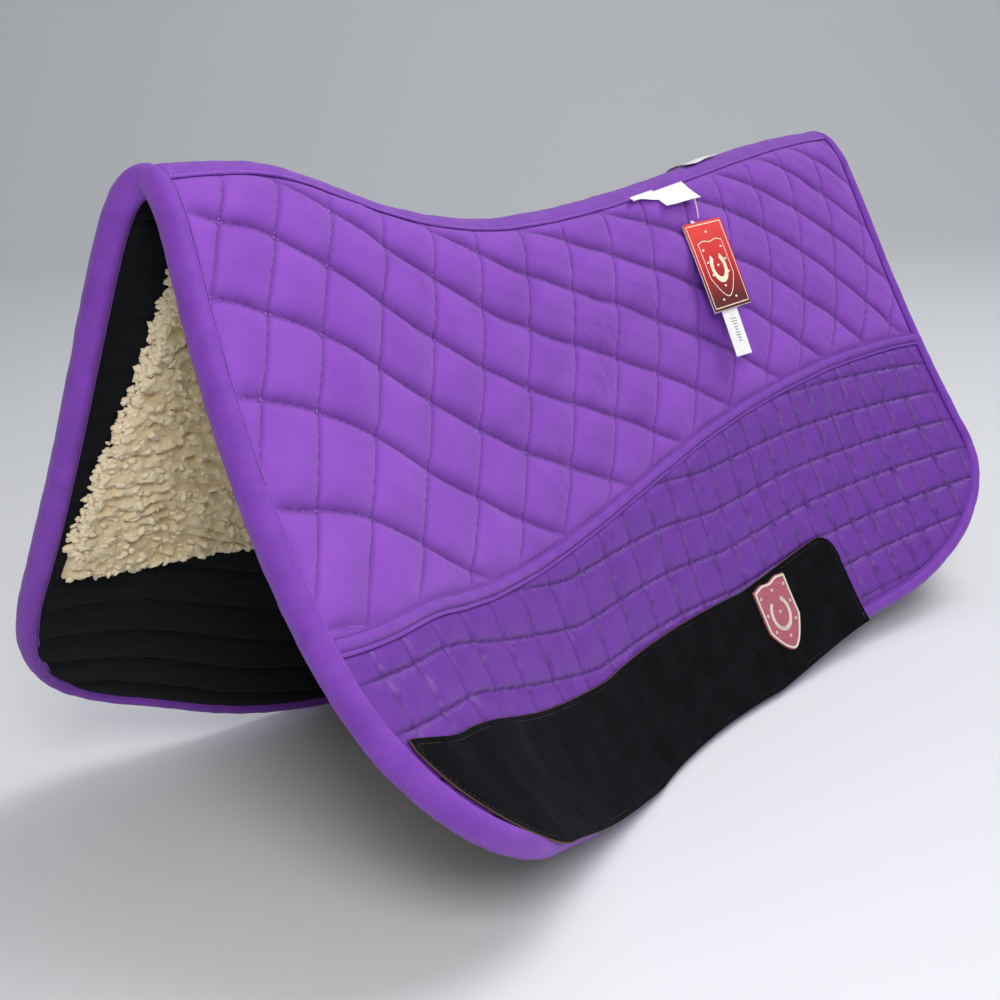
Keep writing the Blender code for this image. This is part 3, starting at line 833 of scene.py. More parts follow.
TWILL, SATIN, TAPE = twill_material(), satin_material(), tape_material()
LINING, FLEECE, SUEDE = lining_material(), fleece_material(), suede_material()
THREAD = plain_material("purple_thread", srgb(150, 92, 200), srgb(186, 134, 228), 0.55, 900.0, 0.3)
DARK_THREAD = plain_material("dark_thread", srgb(74, 34, 112), srgb(100, 54, 146), 0.6, 900.0)
BLACK_THREAD = plain_material("black_thread", srgb(18, 18, 22), srgb(46, 44, 50), 0.7, 900.0)
CUT_EDGE = plain_material("leather_cut_edge", srgb(48, 36, 30), srgb(112, 86, 66), 0.85, 260.0)
FELT = plain_material("felt_and_foam", srgb(96, 96, 94), srgb(142, 140, 136), 0.95, 500.0, 0.2)
CREAM = plain_material("badge_cream", srgb(206, 194, 172), srgb(236, 228, 210), 0.75, 700.0, 0.3)
ROSE = plain_material("badge_rose", srgb(150, 66, 88), srgb(182, 100, 116), 0.75, 520.0, 0.3)
WHITE_SATIN = plain_material(
    "white_satin", srgb(232, 230, 236), srgb(252, 251, 253), 0.36, 300.0, 0.2, 0.5
)
STRING = plain_material("white_string", srgb(222, 220, 216), srgb(244, 242, 240), 0.7, 900.0)
CARD = plain_material("white_card", srgb(230, 230, 230), srgb(248, 248, 248), 0.5, 260.0, 0.0, 0.4)
PRINT_GREY = plain_material("grey_print", srgb(120, 120, 124), srgb(160, 160, 164), 0.5, 300.0)
PRINT_CREAM = plain_material("cream_print", srgb(236, 222, 190), srgb(252, 244, 226), 0.42, 300.0)
TAG_FRONT = tag_material()


def settle(made, body, slot, *nodes):
    """Rides a body, or stays unparented when given two, and stands for CAD nodes. Its slot argument is not
    used.
    """
    if isinstance(body, tuple):
        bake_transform(made)
    else:
        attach(made, body)
    if nodes:
        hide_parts(*nodes)
    return made


BOTH = ("left_side", "right_side")
PAD_PITCH = 0.0019
SKIRT_PITCH = 0.00105


# Panels
def add_cover(side, mirrored):
    stations = station_line(LAYER_INSET, PAD_PITCH)
    rows = steps_for(0.22, PAD_PITCH)
    station, reach = panel_grid(stations, lambda s: np.full_like(s, HALF_START), seam_reach, rows)
    depth, shade = cover_depth(station, reach)
    made = slab(
        side + "_cover_quilt", station, reach, depth, np.full_like(station, 0.0038),
        TWILL, mirrored, shade,
    )
    settle(made, side + "_side", "purple_twill", side + "_upper_cover")


def add_skirt(side, mirrored):
    stations = station_line(LAYER_INSET, SKIRT_PITCH)
    rows = steps_for(0.16, SKIRT_PITCH * 1.25)
    station, reach = panel_grid(stations, seam_reach, lambda s: edge_reach(s, LAYER_INSET), rows)
    depth, shade = skirt_depth(station, reach)
    made = slab(
        side + "_skirt_quilt", station, reach, depth, np.full_like(station, 0.0036),
        SATIN, mirrored, shade,
    )
    settle(made, side + "_side", "purple_satin", side + "_lower_skirt")


def add_core(side, mirrored):
    stations = station_line(LAYER_INSET, 0.008)
    edge = lambda s: edge_reach(s, LAYER_INSET)
    station, reach = panel_grid(stations, lambda s: np.full_like(s, HALF_START), edge, 57)
    made = slab(
        side + "_core_layer", station, reach, np.full_like(station, 0.0040),
        np.full_like(station, 0.0112), FELT, mirrored,
    )
    settle(made, side + "_side", "felt_and_foam", side + "_foam_core")


def lining_depth(station, reach):
    """Depth of the black inner face: flat channels along the spine."""
    x, v = station * LENGTH, reach
    channel = v / 0.028 - 0.35 + 0.05 * noise(x, v, 0.05, 41)
    gap = np.abs(channel - np.round(channel)) * 0.028
    depth = 0.0136 + 0.0016 * (1 - np.exp(-gap / 0.0040))
    depth -= 0.0009 * np.exp(-((gap / 0.0012) ** 2))
    depth += 0.0003 * noise(x * 0.5, v * 1.4, 0.009, 42) + 0.0003 * noise(x, v, 0.03, 43)
    hold = np.exp(-np.maximum(edge_distance(station, reach) - BINDING_WIDTH, 0) / 0.003)
    return np.clip(mix(depth, 0.0136, hold), 0.0127, 0.0160)


def add_lining(side, mirrored):
    stations = station_line(LAYER_INSET, PAD_PITCH * 1.5)
    rows = steps_for(0.40, PAD_PITCH)
    edge = lambda s: edge_reach(s, LAYER_INSET)
    station, reach = panel_grid(stations, lambda s: np.full_like(s, HALF_START), edge, rows)
    made = slab(
        side + "_lining_cloth", station, reach, lining_depth(station, reach),
        np.full_like(station, 0.0118), LINING, mirrored,
    )
    settle(made, side + "_side", "black_lining", side + "_lining")


FLEECE_INSET, FLEECE_TOP = 0.036, 0.042
CURL_ROW = 0.0088


def fleece_front(reach):
    """Distance of the panel's front edge from the pad's, nearer lower down."""
    return mix(0.046, 0.017, smoothstep((reach - 0.05) / 0.20))


def fleece_bottom(station):
    return seam_reach(station) - 0.0015 - 0.013 * smoothstep(station / 0.25)


def fleece_lift(x, v):
    """Height of the pile from 0 to 1: wavy rows of curls. It also mixes the fleece's painted shade, darker
    deep in the pile.
    """
    bend = 0.0050 * noise(x, v, 0.040, 51) + 0.0034 * noise(x, v, 0.016, 52)
    phase = (v + bend) / CURL_ROW
    ridge = (0.5 + 0.5 * np.cos(2 * math.pi * phase)) ** 0.7
    broken = np.clip(0.75 + 0.9 * noise(x, v * 2.0, 0.020, 57), 0, 1)
    lumps = noise(x, v * 1.6, 0.0062, 53)
    fine = noise(x, v * 1.5, 0.0030, 54)
    finer = noise(x, v, 0.0016, 56)
    broad = noise(x, v, 0.024, 55)
    return np.clip(0.42 + 0.34 * (ridge - 0.5) * broken + 0.26 * lumps + 0.17 * fine
                   + 0.10 * finer + 0.14 * broad, 0, 1.2)


def fleece_depth(station, reach):
    x = station * LENGTH
    lift = fleece_lift(x, reach)
    ends = np.minimum(x - fleece_front(reach), LENGTH - FLEECE_INSET - x)
    sides = np.minimum(reach - FLEECE_TOP, fleece_bottom(station) - reach)
    rim = smoothstep(np.minimum(ends, sides) / 0.005 + 0.12) ** 0.5
    return 0.0162 + rim * (0.0024 + 0.0072 * lift), lift


def add_fleece(side, mirrored):
    pitch = 0.0015
    columns = steps_for(LENGTH - 0.017 - FLEECE_INSET, pitch)
    rows = steps_for(0.20, pitch)
    share = np.linspace(0, 1, columns)[:, None] + np.zeros((1, rows))
    down = np.linspace(0, 1, rows)[None]
    rough = mix(FLEECE_TOP, 0.24, down)
    station = mix(fleece_front(rough), LENGTH - FLEECE_INSET, share) / LENGTH
    reach = mix(FLEECE_TOP, fleece_bottom(station), down)
    depth, lift = fleece_depth(station, reach)
    made = slab(
        side + "_fleece_pile", station, reach, depth, np.full_like(station, 0.0150),
        FLEECE, mirrored, lift,
    )
    settle(made, side + "_side", "cream_fleece", side + "_fleece_panel")
    add_tufts(side, mirrored)


def icosphere():
    golden = (1 + 5**0.5) / 2
    points = [(-1, golden, 0), (1, golden, 0), (-1, -golden, 0), (1, -golden, 0)]
    points += [(0, -1, golden), (0, 1, golden), (0, -1, -golden), (0, 1, -golden)]
    points += [(golden, 0, -1), (golden, 0, 1), (-golden, 0, -1), (-golden, 0, 1)]
    faces = [(0, 11, 5), (0, 5, 1), (0, 1, 7), (0, 7, 10), (0, 10, 11), (1, 5, 9), (5, 11, 4)]
    faces += [(11, 10, 2), (10, 7, 6), (7, 1, 8), (3, 9, 4), (3, 4, 2), (3, 2, 6), (3, 6, 8)]
    faces += [(3, 8, 9), (4, 9, 5), (2, 4, 11), (6, 2, 10), (8, 6, 7), (9, 8, 1)]
    points, middles, finer = [np.array(p, float) for p in points], {}, []

    def middle(first, second):
        key = (min(first, second), max(first, second))
        if key not in middles:
            middles[key] = len(points)
            points.append((points[first] + points[second]) / 2)
        return middles[key]

    for a, b, c in faces:
        ab, bc, ca = middle(a, b), middle(b, c), middle(c, a)
        finer += [(a, ab, ca), (b, bc, ab), (c, ca, bc), (ab, bc, ca)]
    return unit(np.array(points)), np.array(finer)


def add_tufts(side, mirrored):
    """Curly tufts that stand on the pile, thickest along the panel's edges."""
    draw = np.random.default_rng(61)
    count, edge_count = ((4600, 2600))
    x = draw.uniform(0.018, LENGTH - FLEECE_INSET - 0.002, count)
    v = mix(FLEECE_TOP + 0.002, fleece_bottom(x / LENGTH) - 0.002, draw.uniform(0, 1, count))
    inside = x > fleece_front(v) + 0.002
    round_x, round_v = edge_tuft_places(draw, edge_count)
    x, v = np.concatenate([x[inside], round_x]), np.concatenate([v[inside], round_v])
    station = x / LENGTH
    depth = fleece_depth(station, v)[0]
    centre = place(station, v, depth - 0.0004)
    forward, downward, outward = axes_at(station, v)
    size = draw.uniform(0.0008, 0.0021, len(x))
    ball, ball_faces = icosphere()
    lengthen = draw.uniform(1.0, 2.4, len(x))
    turn = draw.normal(0, 0.7, len(x))
    along = forward * np.cos(turn)[:, None] + downward * np.sin(turn)[:, None]
    aside = np.cross(outward, along)
    wobble = 1 + draw.normal(0, 0.13, (len(x), len(ball)))
    shaped = ball[None] * (size[:, None] * wobble)[..., None]
    points = (
        centre[:, None]
        + along[:, None] * (shaped[..., :1] * lengthen[:, None, None])
        + aside[:, None] * shaped[..., 1:2]
        - outward[:, None] * shaped[..., 2:] * 0.85
    )
    faces = (np.arange(len(x))[:, None, None] * len(ball) + ball_faces[None]).reshape(-1, 3)
    faces = faces[:, ::-1] if tuft_is_inside_out(points[0], ball_faces) else faces
    cloth = np.stack([x, v, depth], axis=-1)[:, None] + shaped
    # Painted shade: each tuft is darker towards its base on the pile.
    tuft_shade_mix = np.clip(0.75 + 0.25 * shaped[..., 2] / 0.002, 0.2, 1.0)
    made = add_mesh(
        side + "_fleece_tufts", points, faces.tolist(), FLEECE, mirrored, cloth, 0, tuft_shade_mix
    )
    settle(made, side + "_side", "cream_fleece")


def tuft_is_inside_out(points, faces):
    a, b, c = (points[faces[:, corner]] - points.mean(0) for corner in range(3))
    return np.einsum("ij,ij->", a, np.cross(b, c)) < 0


def edge_tuft_places(draw, count):
    """Places all round the fleece panel's rim, a little in and out of it."""
    side = draw.uniform(0, 1, count)
    stations = draw.uniform(FLEECE_INSET / LENGTH, 1 - FLEECE_INSET / LENGTH, count)
    jitter = draw.normal(0.0012, 0.0016, count)
    top, bottom = np.full(count, FLEECE_TOP), fleece_bottom(stations)
    is_end = side < 0.38
    is_front = side < 0.24
    any_reach = mix(FLEECE_TOP, 0.240, draw.uniform(0, 1, count))
    front = fleece_front(any_reach) + jitter
    end_x = np.where(is_front, front, LENGTH - FLEECE_INSET - jitter)
    x = np.where(is_end, end_x, stations * LENGTH)
    any_reach = np.minimum(any_reach, fleece_bottom(x / LENGTH))
    v = np.where(is_end, any_reach, np.where(side < 0.65, top + jitter, bottom - jitter))
    return x, v


# Binding, swept round the edge. Outlines here are pairs of millimetres: distance in from
# the edge, or across the tape, and depth.
BINDING_OUTLINE = (
    (16.0, 1.5), (15.6, 0.5), (14.9, 0.15), (14.3, 0.75), (13.7, 0.2), (12.5, -0.75),
    (10.5, -1.35), (8.5, -1.45), (6.5, -1.05), (4.6, -0.1), (2.9, 1.5), (1.5, 3.6),
    (0.6, 5.9), (0.3, 7.5), (0.6, 9.2), (1.5, 11.5), (2.9, 13.5), (4.6, 15.0),
    (6.5, 15.9), (8.5, 16.3), (10.5, 16.2), (12.5, 15.6), (13.7, 14.7), (14.3, 14.2),
    (14.9, 14.8), (15.6, 14.5), (16.0, 13.6), (14.5, 12.9), (11.0, 13.2), (7.0, 13.4),
    (4.6, 12.2), (3.0, 9.6), (2.6, 7.5), (3.0, 5.4), (4.6, 2.9), (7.0, 1.8),
    (11.0, 1.9), (14.5, 2.3),
)


BINDING_MIDDLE, BINDING_SKIN = (0.0061, 0.0075), 27
BINDING_CAD_WIDTH, BINDING_STITCH_INSET = 0.016, 0.0103


def edge_place(turn, inset):
    """Station and reach of a place round the edge. turn runs from 0 to 5."""
    front_run, front_rise = CORNER_FRONT
    rear_run, rear_rise = CORNER_REAR
    part = np.clip(turn.astype(int), 0, 4)
    share = turn - part
    angle = share * math.pi / 2
    front, rear = inset / LENGTH, 1 - inset / LENGTH
    front_corner = (front_run - (front_run - inset) * np.cos(angle)) / LENGTH
    rear_corner = (LENGTH - rear_run + (rear_run - inset) * np.sin(angle)) / LENGTH
    bottom = mix(front_run, LENGTH - rear_run, share) / LENGTH
    parts = [front + 0 * share, front_corner, bottom, rear_corner, rear + 0 * share]
    station = np.choose(part, parts)
    drop = drop_length(station)
    reaches = [
        mix(HALF_START, drop - front_rise, share),
        drop + (front_rise - inset) * np.sin(angle) - front_rise,
        drop - inset,
        drop + (rear_rise - inset) * np.cos(angle) - rear_rise,
        mix(drop - rear_rise, HALF_START, share),
    ]
    return station, np.choose(part, reaches)


def even_turns(pitch):
    turns = np.linspace(0, 4.9999, 6000)
    station, reach = edge_place(turns, 0.008)
    points = place(station, reach, np.full_like(turns, 0.004))
    length = np.concatenate([[0], np.cumsum(np.linalg.norm(np.diff(points, axis=0), axis=1))])
    count = round(length[-1] / pitch)
    wanted = np.linspace(0, length[-1], count + 1)
    return np.interp(wanted, length, turns), wanted


def binding_sections(distance):
    """The binding's cross-section at each distance, with small folds and a soft waver."""
    around = np.arange(len(BINDING_OUTLINE)) / len(BINDING_OUTLINE)
    inset, depth = split_outline(BINDING_OUTLINE)
    inset *= BINDING_WIDTH / BINDING_CAD_WIDTH
    outward = unit(np.stack([inset, depth], axis=-1) - BINDING_MIDDLE)
    grid_distance, grid_around = np.meshgrid(distance, around, indexing="ij")
    slant = grid_distance + 0.010 * grid_around
    fold = noise(slant, grid_around * 0.012, 0.0065, 71) * 0.00026
    fold += noise(slant, grid_around * 0.02, 0.021, 72) * 0.00045
    fold *= np.clip((0.0111 - inset) / 0.003, 0, 1)[None]
    fold[:, BINDING_SKIN:] = 0.0
    return inset[None] + outward[None, :, 0] * fold, depth[None] + outward[None, :, 1] * fold


def binding_tube(name, rings, distance, depth, mirrored=False):
    along = np.repeat(distance[:, None], depth.shape[1], axis=1)
    around = np.arange(depth.shape[1])[None] * 0.0012 + 0 * depth
    return tube(name, rings, TAPE, mirrored, np.stack([along, around, depth], axis=-1), sharp=75)


def add_binding(side, mirrored):
    turns, distance = even_turns(0.0022)
    inset, depth = binding_sections(distance)
    station, reach = edge_place(np.repeat(turns[:, None], inset.shape[1], axis=1), inset)
    rings = place(station, reach, depth)
    made = binding_tube(side + "_binding_roll", rings, distance, depth, mirrored)
    settle(made, side + "_side", "purple_tape", side + "_edge_binding")
    lines = []
    for line_depth in (0.00045, 0.01455):
        station, reach = edge_place(turns, BINDING_STITCH_INSET)
        points, normals = face_line(station, reach, np.full_like(turns, line_depth))
        lines.append((points, normals if line_depth < 0.007 else -normals))
    made = stitch_object(
        side + "_binding_stitches", lines, 0.0030, (0.0023, 0.00055, 0.0006), DARK_THREAD, mirrored
    )
    settle(made, side + "_side", "purple_tape")


def add_arch_binding(name, at_front):
    half = HALF_START
    reaches = np.linspace(-half, half, 15)
    distance = np.abs(reaches) - half
    if not at_front:
        distance = even_turns(0.01)[1][-1] - distance
    inset, depth = binding_sections(distance)
    station = inset / LENGTH if at_front else 1 - inset / LENGTH
    reach = np.repeat(reaches[:, None], inset.shape[1], axis=1)
    rings = place(station, reach, depth)
    made = binding_tube(name + "_roll", rings, distance, depth)
    settle(made, BOTH, "purple_tape", name)


# Piping tape over the seam, as a raised roll between two stitched flanges
PIPING_OUTLINE = (
    (-5.5, 1.5), (-5.4, 0.7), (-4.9, 0.35), (-4.5, 0.9), (-4.1, 0.4), (-3.2, -0.8), (-2.0, -1.7),
    (-0.7, -2.0), (0.6, -1.75), (1.7, -0.9), (2.4, 0.35), (2.8, 0.95), (3.2, 0.45), (4.0, 0.05),
    (4.9, 0.1), (5.5, 0.8), (5.5, 1.6), (3.0, 1.9), (0.0, 2.0), (-3.0, 1.9),
)


def add_piping(side, mirrored):
    count = 620
    start = TAPE_START / LENGTH
    stations = np.linspace(start, 1 - start, count)
    across, depth = split_outline(PIPING_OUTLINE)
    station = np.repeat(stations[:, None], len(across), axis=1)
    waver = 0.0003 * noise(stations * LENGTH, 0 * stations, 0.02, 81)
    reach = seam_reach(station) + across[None] + waver[:, None]
    raised = np.where(depth < 0.0003, 1.0, 0.0)[None]
    folds = raised * 0.00022 * noise(station * LENGTH + reach, reach * 0.4, 0.0050, 82)
    rings = place(station, reach, depth[None] + folds)
    cloth = np.stack([station * LENGTH, reach, 0 * station], axis=-1)
    made = tube(side + "_piping_roll", rings, TAPE, mirrored, cloth)
    settle(made, side + "_side", "purple_tape", side + "_piping_tape")
    lines = []
    for offset in (-0.0045, 0.0028):
        row = seam_reach(stations) + offset
        lines.append(face_line(stations, row, np.full_like(stations, 0.00062)))
    made = stitch_object(
        side + "_piping_stitches", lines, 0.0028, (0.0021, 0.00045, 0.0005), DARK_THREAD, mirrored
    )
    settle(made, side + "_side", "purple_tape")


def add_quilt_stitches(side, mirrored):
    made = stitch_object(
        side + "_quilt_stitches", cover_seam_lines(), 0.0031, (0.0023, 0.00048, 0.0005),
        THREAD, mirrored,
    )
    settle(made, side + "_side", "purple_twill")
    made = stitch_object(
        side + "_skirt_stitches", skirt_seam_lines(), 0.0029, (0.0021, 0.00045, 0.0005),
        DARK_THREAD, mirrored,
    )
    settle(made, side + "_side", "purple_satin")


# Wear leather and badge
def add_leather(side, mirrored):
    pitch = PAD_PITCH * 1.2
    columns = steps_for(LEATHER_REAR - LEATHER_FRONT, pitch)
    share = np.linspace(0, 1, columns)
    share = mix(share, np.sin(share * math.pi / 2), 0.35)
    stations = mix(LEATHER_FRONT, LEATHER_REAR, share) / LENGTH
    rows = steps_for(0.085, pitch)
    station, reach = panel_grid(stations, leather_top, leather_bottom, rows)
    x = station * LENGTH
    side_gap = np.minimum(x - LEATHER_FRONT, LEATHER_REAR - x)
    low_gap = np.minimum(reach - leather_top(station), leather_bottom(station) - reach)
    gap = np.minimum(side_gap, low_gap)
    under = skirt_rows(station, reach)
    rows_gap = np.abs(under - np.round(under)) * row_pitch(station)
    crosses = np.interp(station, CROSS_STATIONS, CROSS_COUNTS)
    cross_gap = np.abs(crosses - np.round(crosses)) * 0.03
    pillow = (1 - np.exp(-rows_gap / 0.006)) * (1 - np.exp(-cross_gap / 0.006))
    depth = -0.0021 - 0.0009 * pillow * smoothstep(gap / 0.008)
    depth -= 0.0006 * noise(x, reach, 0.024, 91) * smoothstep(gap / 0.006)
    depth -= 0.0002 * noise(x, reach, 0.006, 92)
    depth += 0.0005 * np.exp(-(((gap - 0.0032) / 0.0008) ** 2))
    depth -= 0.0004 * np.exp(-(((gap - 0.0008) / 0.0012) ** 2))
    back = np.full_like(station, -0.0006)
    made = slab(side + "_leather_hide", station, reach, depth, back, SUEDE, mirrored)
    settle(made, side + "_side", "black_suede", side + "_wear_leather")
    add_leather_edge(side, mirrored)


def leather_outline(inset, count):
    """Places round the wear leather's edge, moved in by inset."""
    front, rear = LEATHER_FRONT + inset, LEATHER_REAR - inset
    share = np.linspace(0, 1, count)
    x = mix(front, rear, mix(share, np.sin(share * math.pi / 2), 0.5))
    top = leather_top(x / LENGTH) + inset
    bottom = leather_bottom(x / LENGTH) - inset
    stations = np.concatenate([x, np.full(9, rear), x[::-1], np.full(9, front)]) / LENGTH
    reaches = np.concatenate([
        top, np.linspace(top[-1], bottom[-1], 11)[1:-1], bottom[::-1],
        np.linspace(bottom[0], top[0], 11)[1:-1],
    ])
    return stations, reaches


def add_leather_edge(side, mirrored):
    """The brown cut edge, and the stitch line inside it."""
    stations, reaches = leather_outline(-0.0001, 260)
    points, normals = face_line(stations, reaches, np.full_like(stations, -0.0013))
    rings = cord_rings(points, normals, 6, 0.00035, 0.00075)
    made = tube(side + "_leather_cut_edge", rings, CUT_EDGE, mirrored, None, True)
    settle(made, side + "_side", "black_suede")
    stations, reaches = leather_outline(0.0032, 260)
    depth = np.full_like(stations, -0.0019)
    made = stitch_object(
        side + "_leather_stitches", [face_line(stations, reaches, depth)], 0.0034,
        (0.0026, 0.0006, 0.0008), BLACK_THREAD, mirrored,
    )
    settle(made, side + "_side", "black_suede")


BADGE_PLACE, BADGE_SIZE, BADGE_SHOULDER = (0.624, 0.353), (0.041, 0.055), 0.034


def badge_outline(scale, count=96):
    """Closed shield outline in metres from the badge's middle: across and down."""
    half, height = BADGE_SIZE[0] / 2, BADGE_SIZE[1]
    share = np.linspace(-1, 1, count // 2)
    lower_x = share[::-1] * half
    taper = 1 - np.abs(share[::-1]) ** 1.7
    lower = -height / 2 + BADGE_SHOULDER + (height - BADGE_SHOULDER) * taper
    upper_x = share * half
    upper = -height / 2 + 0.0016 * np.cos(share * math.pi) ** 2 - 0.0016
    side = np.linspace(0, 1, 12)[1:-1]
    across = np.concatenate([upper_x, np.full(10, half), lower_x, np.full(10, -half)])
    right = mix(upper[-1], lower[0], side)
    left = mix(lower[-1], upper[0], side)
    down = np.concatenate([upper, right, lower, left])
    return across * scale, down * scale


def on_badge(across, down, depth):
    middle, reach = BADGE_PLACE
    station = middle - across / LENGTH
    return face_line(station, reach + down, np.zeros_like(across) + depth)


def add_badge(side, mirrored):
    across, down = badge_outline(1.0)
    shares = (0.25, 0.5, 0.75, 0.97, 1.0, 1.0)
    depths = (-0.0041, -0.0041, -0.0040, -0.0039, -0.0034, -0.0026)
    rings, cloth = [], []
    for share, depth in zip(shares, depths):
        rings.append(on_badge(across * share, down * share, depth)[0])
        cloth.append(np.stack([across * share, down * share, 0 * across], axis=-1))
    rings.append(on_badge(across * 0.5, down * 0.5, -0.0026)[0])
    cloth.append(cloth[-1])
    rings = np.array(rings)
    made = tube(side + "_badge_patch", rings, ROSE, mirrored, np.array(cloth), False, 50)
    settle(made, side + "_side", "badge_rose", side + "_badge")
    points, normals = on_badge(across * 0.94, down * 0.945, -0.0042)
    border = cord_rings(points, normals, 8, 0.0009, 0.0006)
    made = tube(side + "_badge_border", border, CREAM, mirrored, None, True)
    settle(made, side + "_side", "badge_rose")
    made = stitch_object(
        side + "_badge_emblem", badge_emblem_lines(), 0.0011,
        (0.0017, 0.0011, 0.0009), CREAM, mirrored,
    )
    settle(made, side + "_side", "badge_rose")


def horseshoe(radius, squeeze=1.15, count=60):
    """An open arc, wider at the bottom of its bend: across and down from its middle."""
    turn = np.linspace(math.radians(-55), math.radians(235), count)
    return radius * np.cos(turn), radius * squeeze * np.sin(turn)


BADGE_KNOTS = (
    (-0.0155, -0.020), (0.0155, -0.020), (-0.0155, -0.006), (0.0155, -0.006),
    (-0.0135, 0.008), (0.0135, 0.008), (0.0, 0.0165), (0.0, -0.021), (0.0, -0.0035),
)


def badge_emblem_lines():
    """A plain horseshoe with small knots round it."""
    lines = []
    for radius in (0.0094, 0.0104, 0.0114):
        across, down = horseshoe(radius)
        lines.append(on_badge(across, down - 0.002, -0.0043))
    for across, down in BADGE_KNOTS:
        for shift in (-0.0006, 0.0006):
            run = np.linspace(-0.0012, 0.0012, 3)
            lines.append(on_badge(across + run, np.full(3, down + shift), -0.0043))
    return lines


# Spine
SPINE_TAPE_OUTLINE = (
    (-15.5, 1.6), (-15.4, 1.0), (-15.0, 0.75), (-14.4, 0.7), (-13.6, 1.2), (-12.6, 0.6),
    (-9.0, 0.1), (-4.0, -0.1), (0.0, -0.1), (4.0, -0.1), (9.0, 0.1), (12.6, 0.6),
    (13.6, 1.2), (14.4, 0.7), (15.0, 0.75), (15.4, 1.0), (15.5, 1.6), (12.0, 2.0),
    (6.0, 2.1), (0.0, 2.1), (-6.0, 2.1), (-12.0, 2.0),
)


def add_spine():
    start = TAPE_START / LENGTH
    count = 481
    stations = np.linspace(start, 1 - start, count)
    across, depth = split_outline(SPINE_TAPE_OUTLINE)
    station = np.repeat(stations[:, None], len(across), axis=1)
    reach = np.repeat(across[None], count, axis=0)
    raised = np.where(depth < 0.0015, 1.0, 0.0)[None]
    folds = raised * (
        0.0004 * noise(station * LENGTH, reach, 0.018, 101)
        + 0.00018 * noise(station * LENGTH + 0.6 * reach, reach * 0.5, 0.0055, 102)
    )
    rings = place(station, reach, depth[None] + folds)
    cloth = np.stack([station * LENGTH, reach, 0 * station], axis=-1)
    made = tube("spine_tape_cloth", rings, TAPE, False, cloth)
    settle(made, BOTH, "purple_tape", "spine_tape")
    lines = []
    for reach_ in (-0.0136, 0.0136):
        row = np.full_like(stations, reach_)
        lines.append(face_line(stations, row, np.full_like(stations, 0.0009)))
    made = stitch_object("spine_tape_stitches", lines, 0.0031, (0.0023, 0.0005, 0.0006), THREAD)
    settle(made, BOTH, "purple_tape")
    stations = station_line(LAYER_INSET, 0.004)
    for name, front, back, material, slot_name in (
        ("spine_padding", 0.0036, 0.0112, FELT, "felt_and_foam"),
        ("spine_lining", 0.0137, 0.0118, LINING, "black_lining"),
    ):
        first = lambda s: np.full_like(s, -HALF_START)
        last = lambda s: np.full_like(s, HALF_START)
        station, reach = panel_grid(stations, first, last, 13)
        skins = np.full_like(station, front), np.full_like(station, back)
        made = slab(name + "_layer", station, reach, *skins, material)
        settle(made, BOTH, slot_name, name)


def add_rear_label():
    """A satin label caught in the spine tape, with one end lifted a little."""
    stations = np.linspace(0.687, 0.754, 41)
    station = np.repeat(stations[:, None], 17, axis=1)
    share = np.linspace(-1, 1, 17)[None] + 0 * station
    slant = (station - 0.72) / 0.067
    reach = mix(-0.0160, 0.0045 - 0.0040 * np.clip(slant + 0.2, 0, 1), (share + 1) / 2)
    lift = 0.0016 + 0.0012 * np.clip(share, 0, 1) ** 2 + 0.0004 * np.sin(slant * 9)
    lift += 0.0012 * np.clip(-slant - 0.3, 0, 1)
    made = slab("rear_label_satin", station, reach, -lift - 0.0003, -lift, WHITE_SATIN)
    settle(made, BOTH, "white_satin", "rear_label")


# Label, string, tag and ticket, in their own frames
def frame_at(station, reach, lift):
    forward, _, outward = (part[0] for part in axes_at(np.array([station]), np.array([reach])))
    upward = np.cross(forward, outward)
    made = Matrix.Identity(4)
    for column, axis in enumerate((forward, -upward, outward)):
        for row in range(3):
            made[row][column] = axis[row]
    made.translation = place(np.array([station]), np.array([reach]), np.array([-lift]))[0]
    return made


def in_frame(matrix, points):
    grid = np.array(matrix)
    return points @ grid[:3, :3].T + grid[:3, 3]


def sheet_in_frame(name, matrix, x, y, z, thickness, material):
    """A thin closed sheet from grids of places in a frame."""
    columns, rows = x.shape
    front = np.stack([x, y, z + thickness], axis=-1)
    back = np.stack([x, y, z], axis=-1)
    points = in_frame(matrix, np.concatenate([front.reshape(-1, 3), back.reshape(-1, 3)]))
    start = columns * rows
    faces = grid_faces(columns, rows, 0) + grid_faces(columns, rows, start, True)
    fine = np.arange(start).reshape(columns, rows)
    for line in (fine[0, ::-1], fine[:, 0], fine[-1], fine[::-1, -1]):
        for first, second in zip(line[:-1].tolist(), line[1:].tolist()):
            faces.append((first, second, start + second, start + first))
    cloth = np.stack([x, y, z], axis=-1).reshape(-1, 3)
    cloth = np.concatenate([cloth, cloth])
    made = add_mesh(name, points, faces, material, False, cloth, 40)
    volume_check(made)
    return made


def volume_check(made):
    """Turns the faces outward when the frame's handedness has turned them inward."""
    points = np.zeros(len(made.data.vertices) * 3)
    made.data.vertices.foreach_get("co", points)
    points = points.reshape(-1, 3) - points.reshape(-1, 3).mean(0)
    total = 0.0
    for face in made.data.polygons:
        corners = points[list(face.vertices)]
        for second, third in zip(corners[1:-1], corners[2:]):
            total += corners[0] @ np.cross(second, third)
    if total < 0:
        made.data.flip_normals()


LABEL_WIDTH, LABEL_DROP = 0.045, 0.018
TAG_WIDTH, TAG_HEIGHT = 0.052, 0.0695


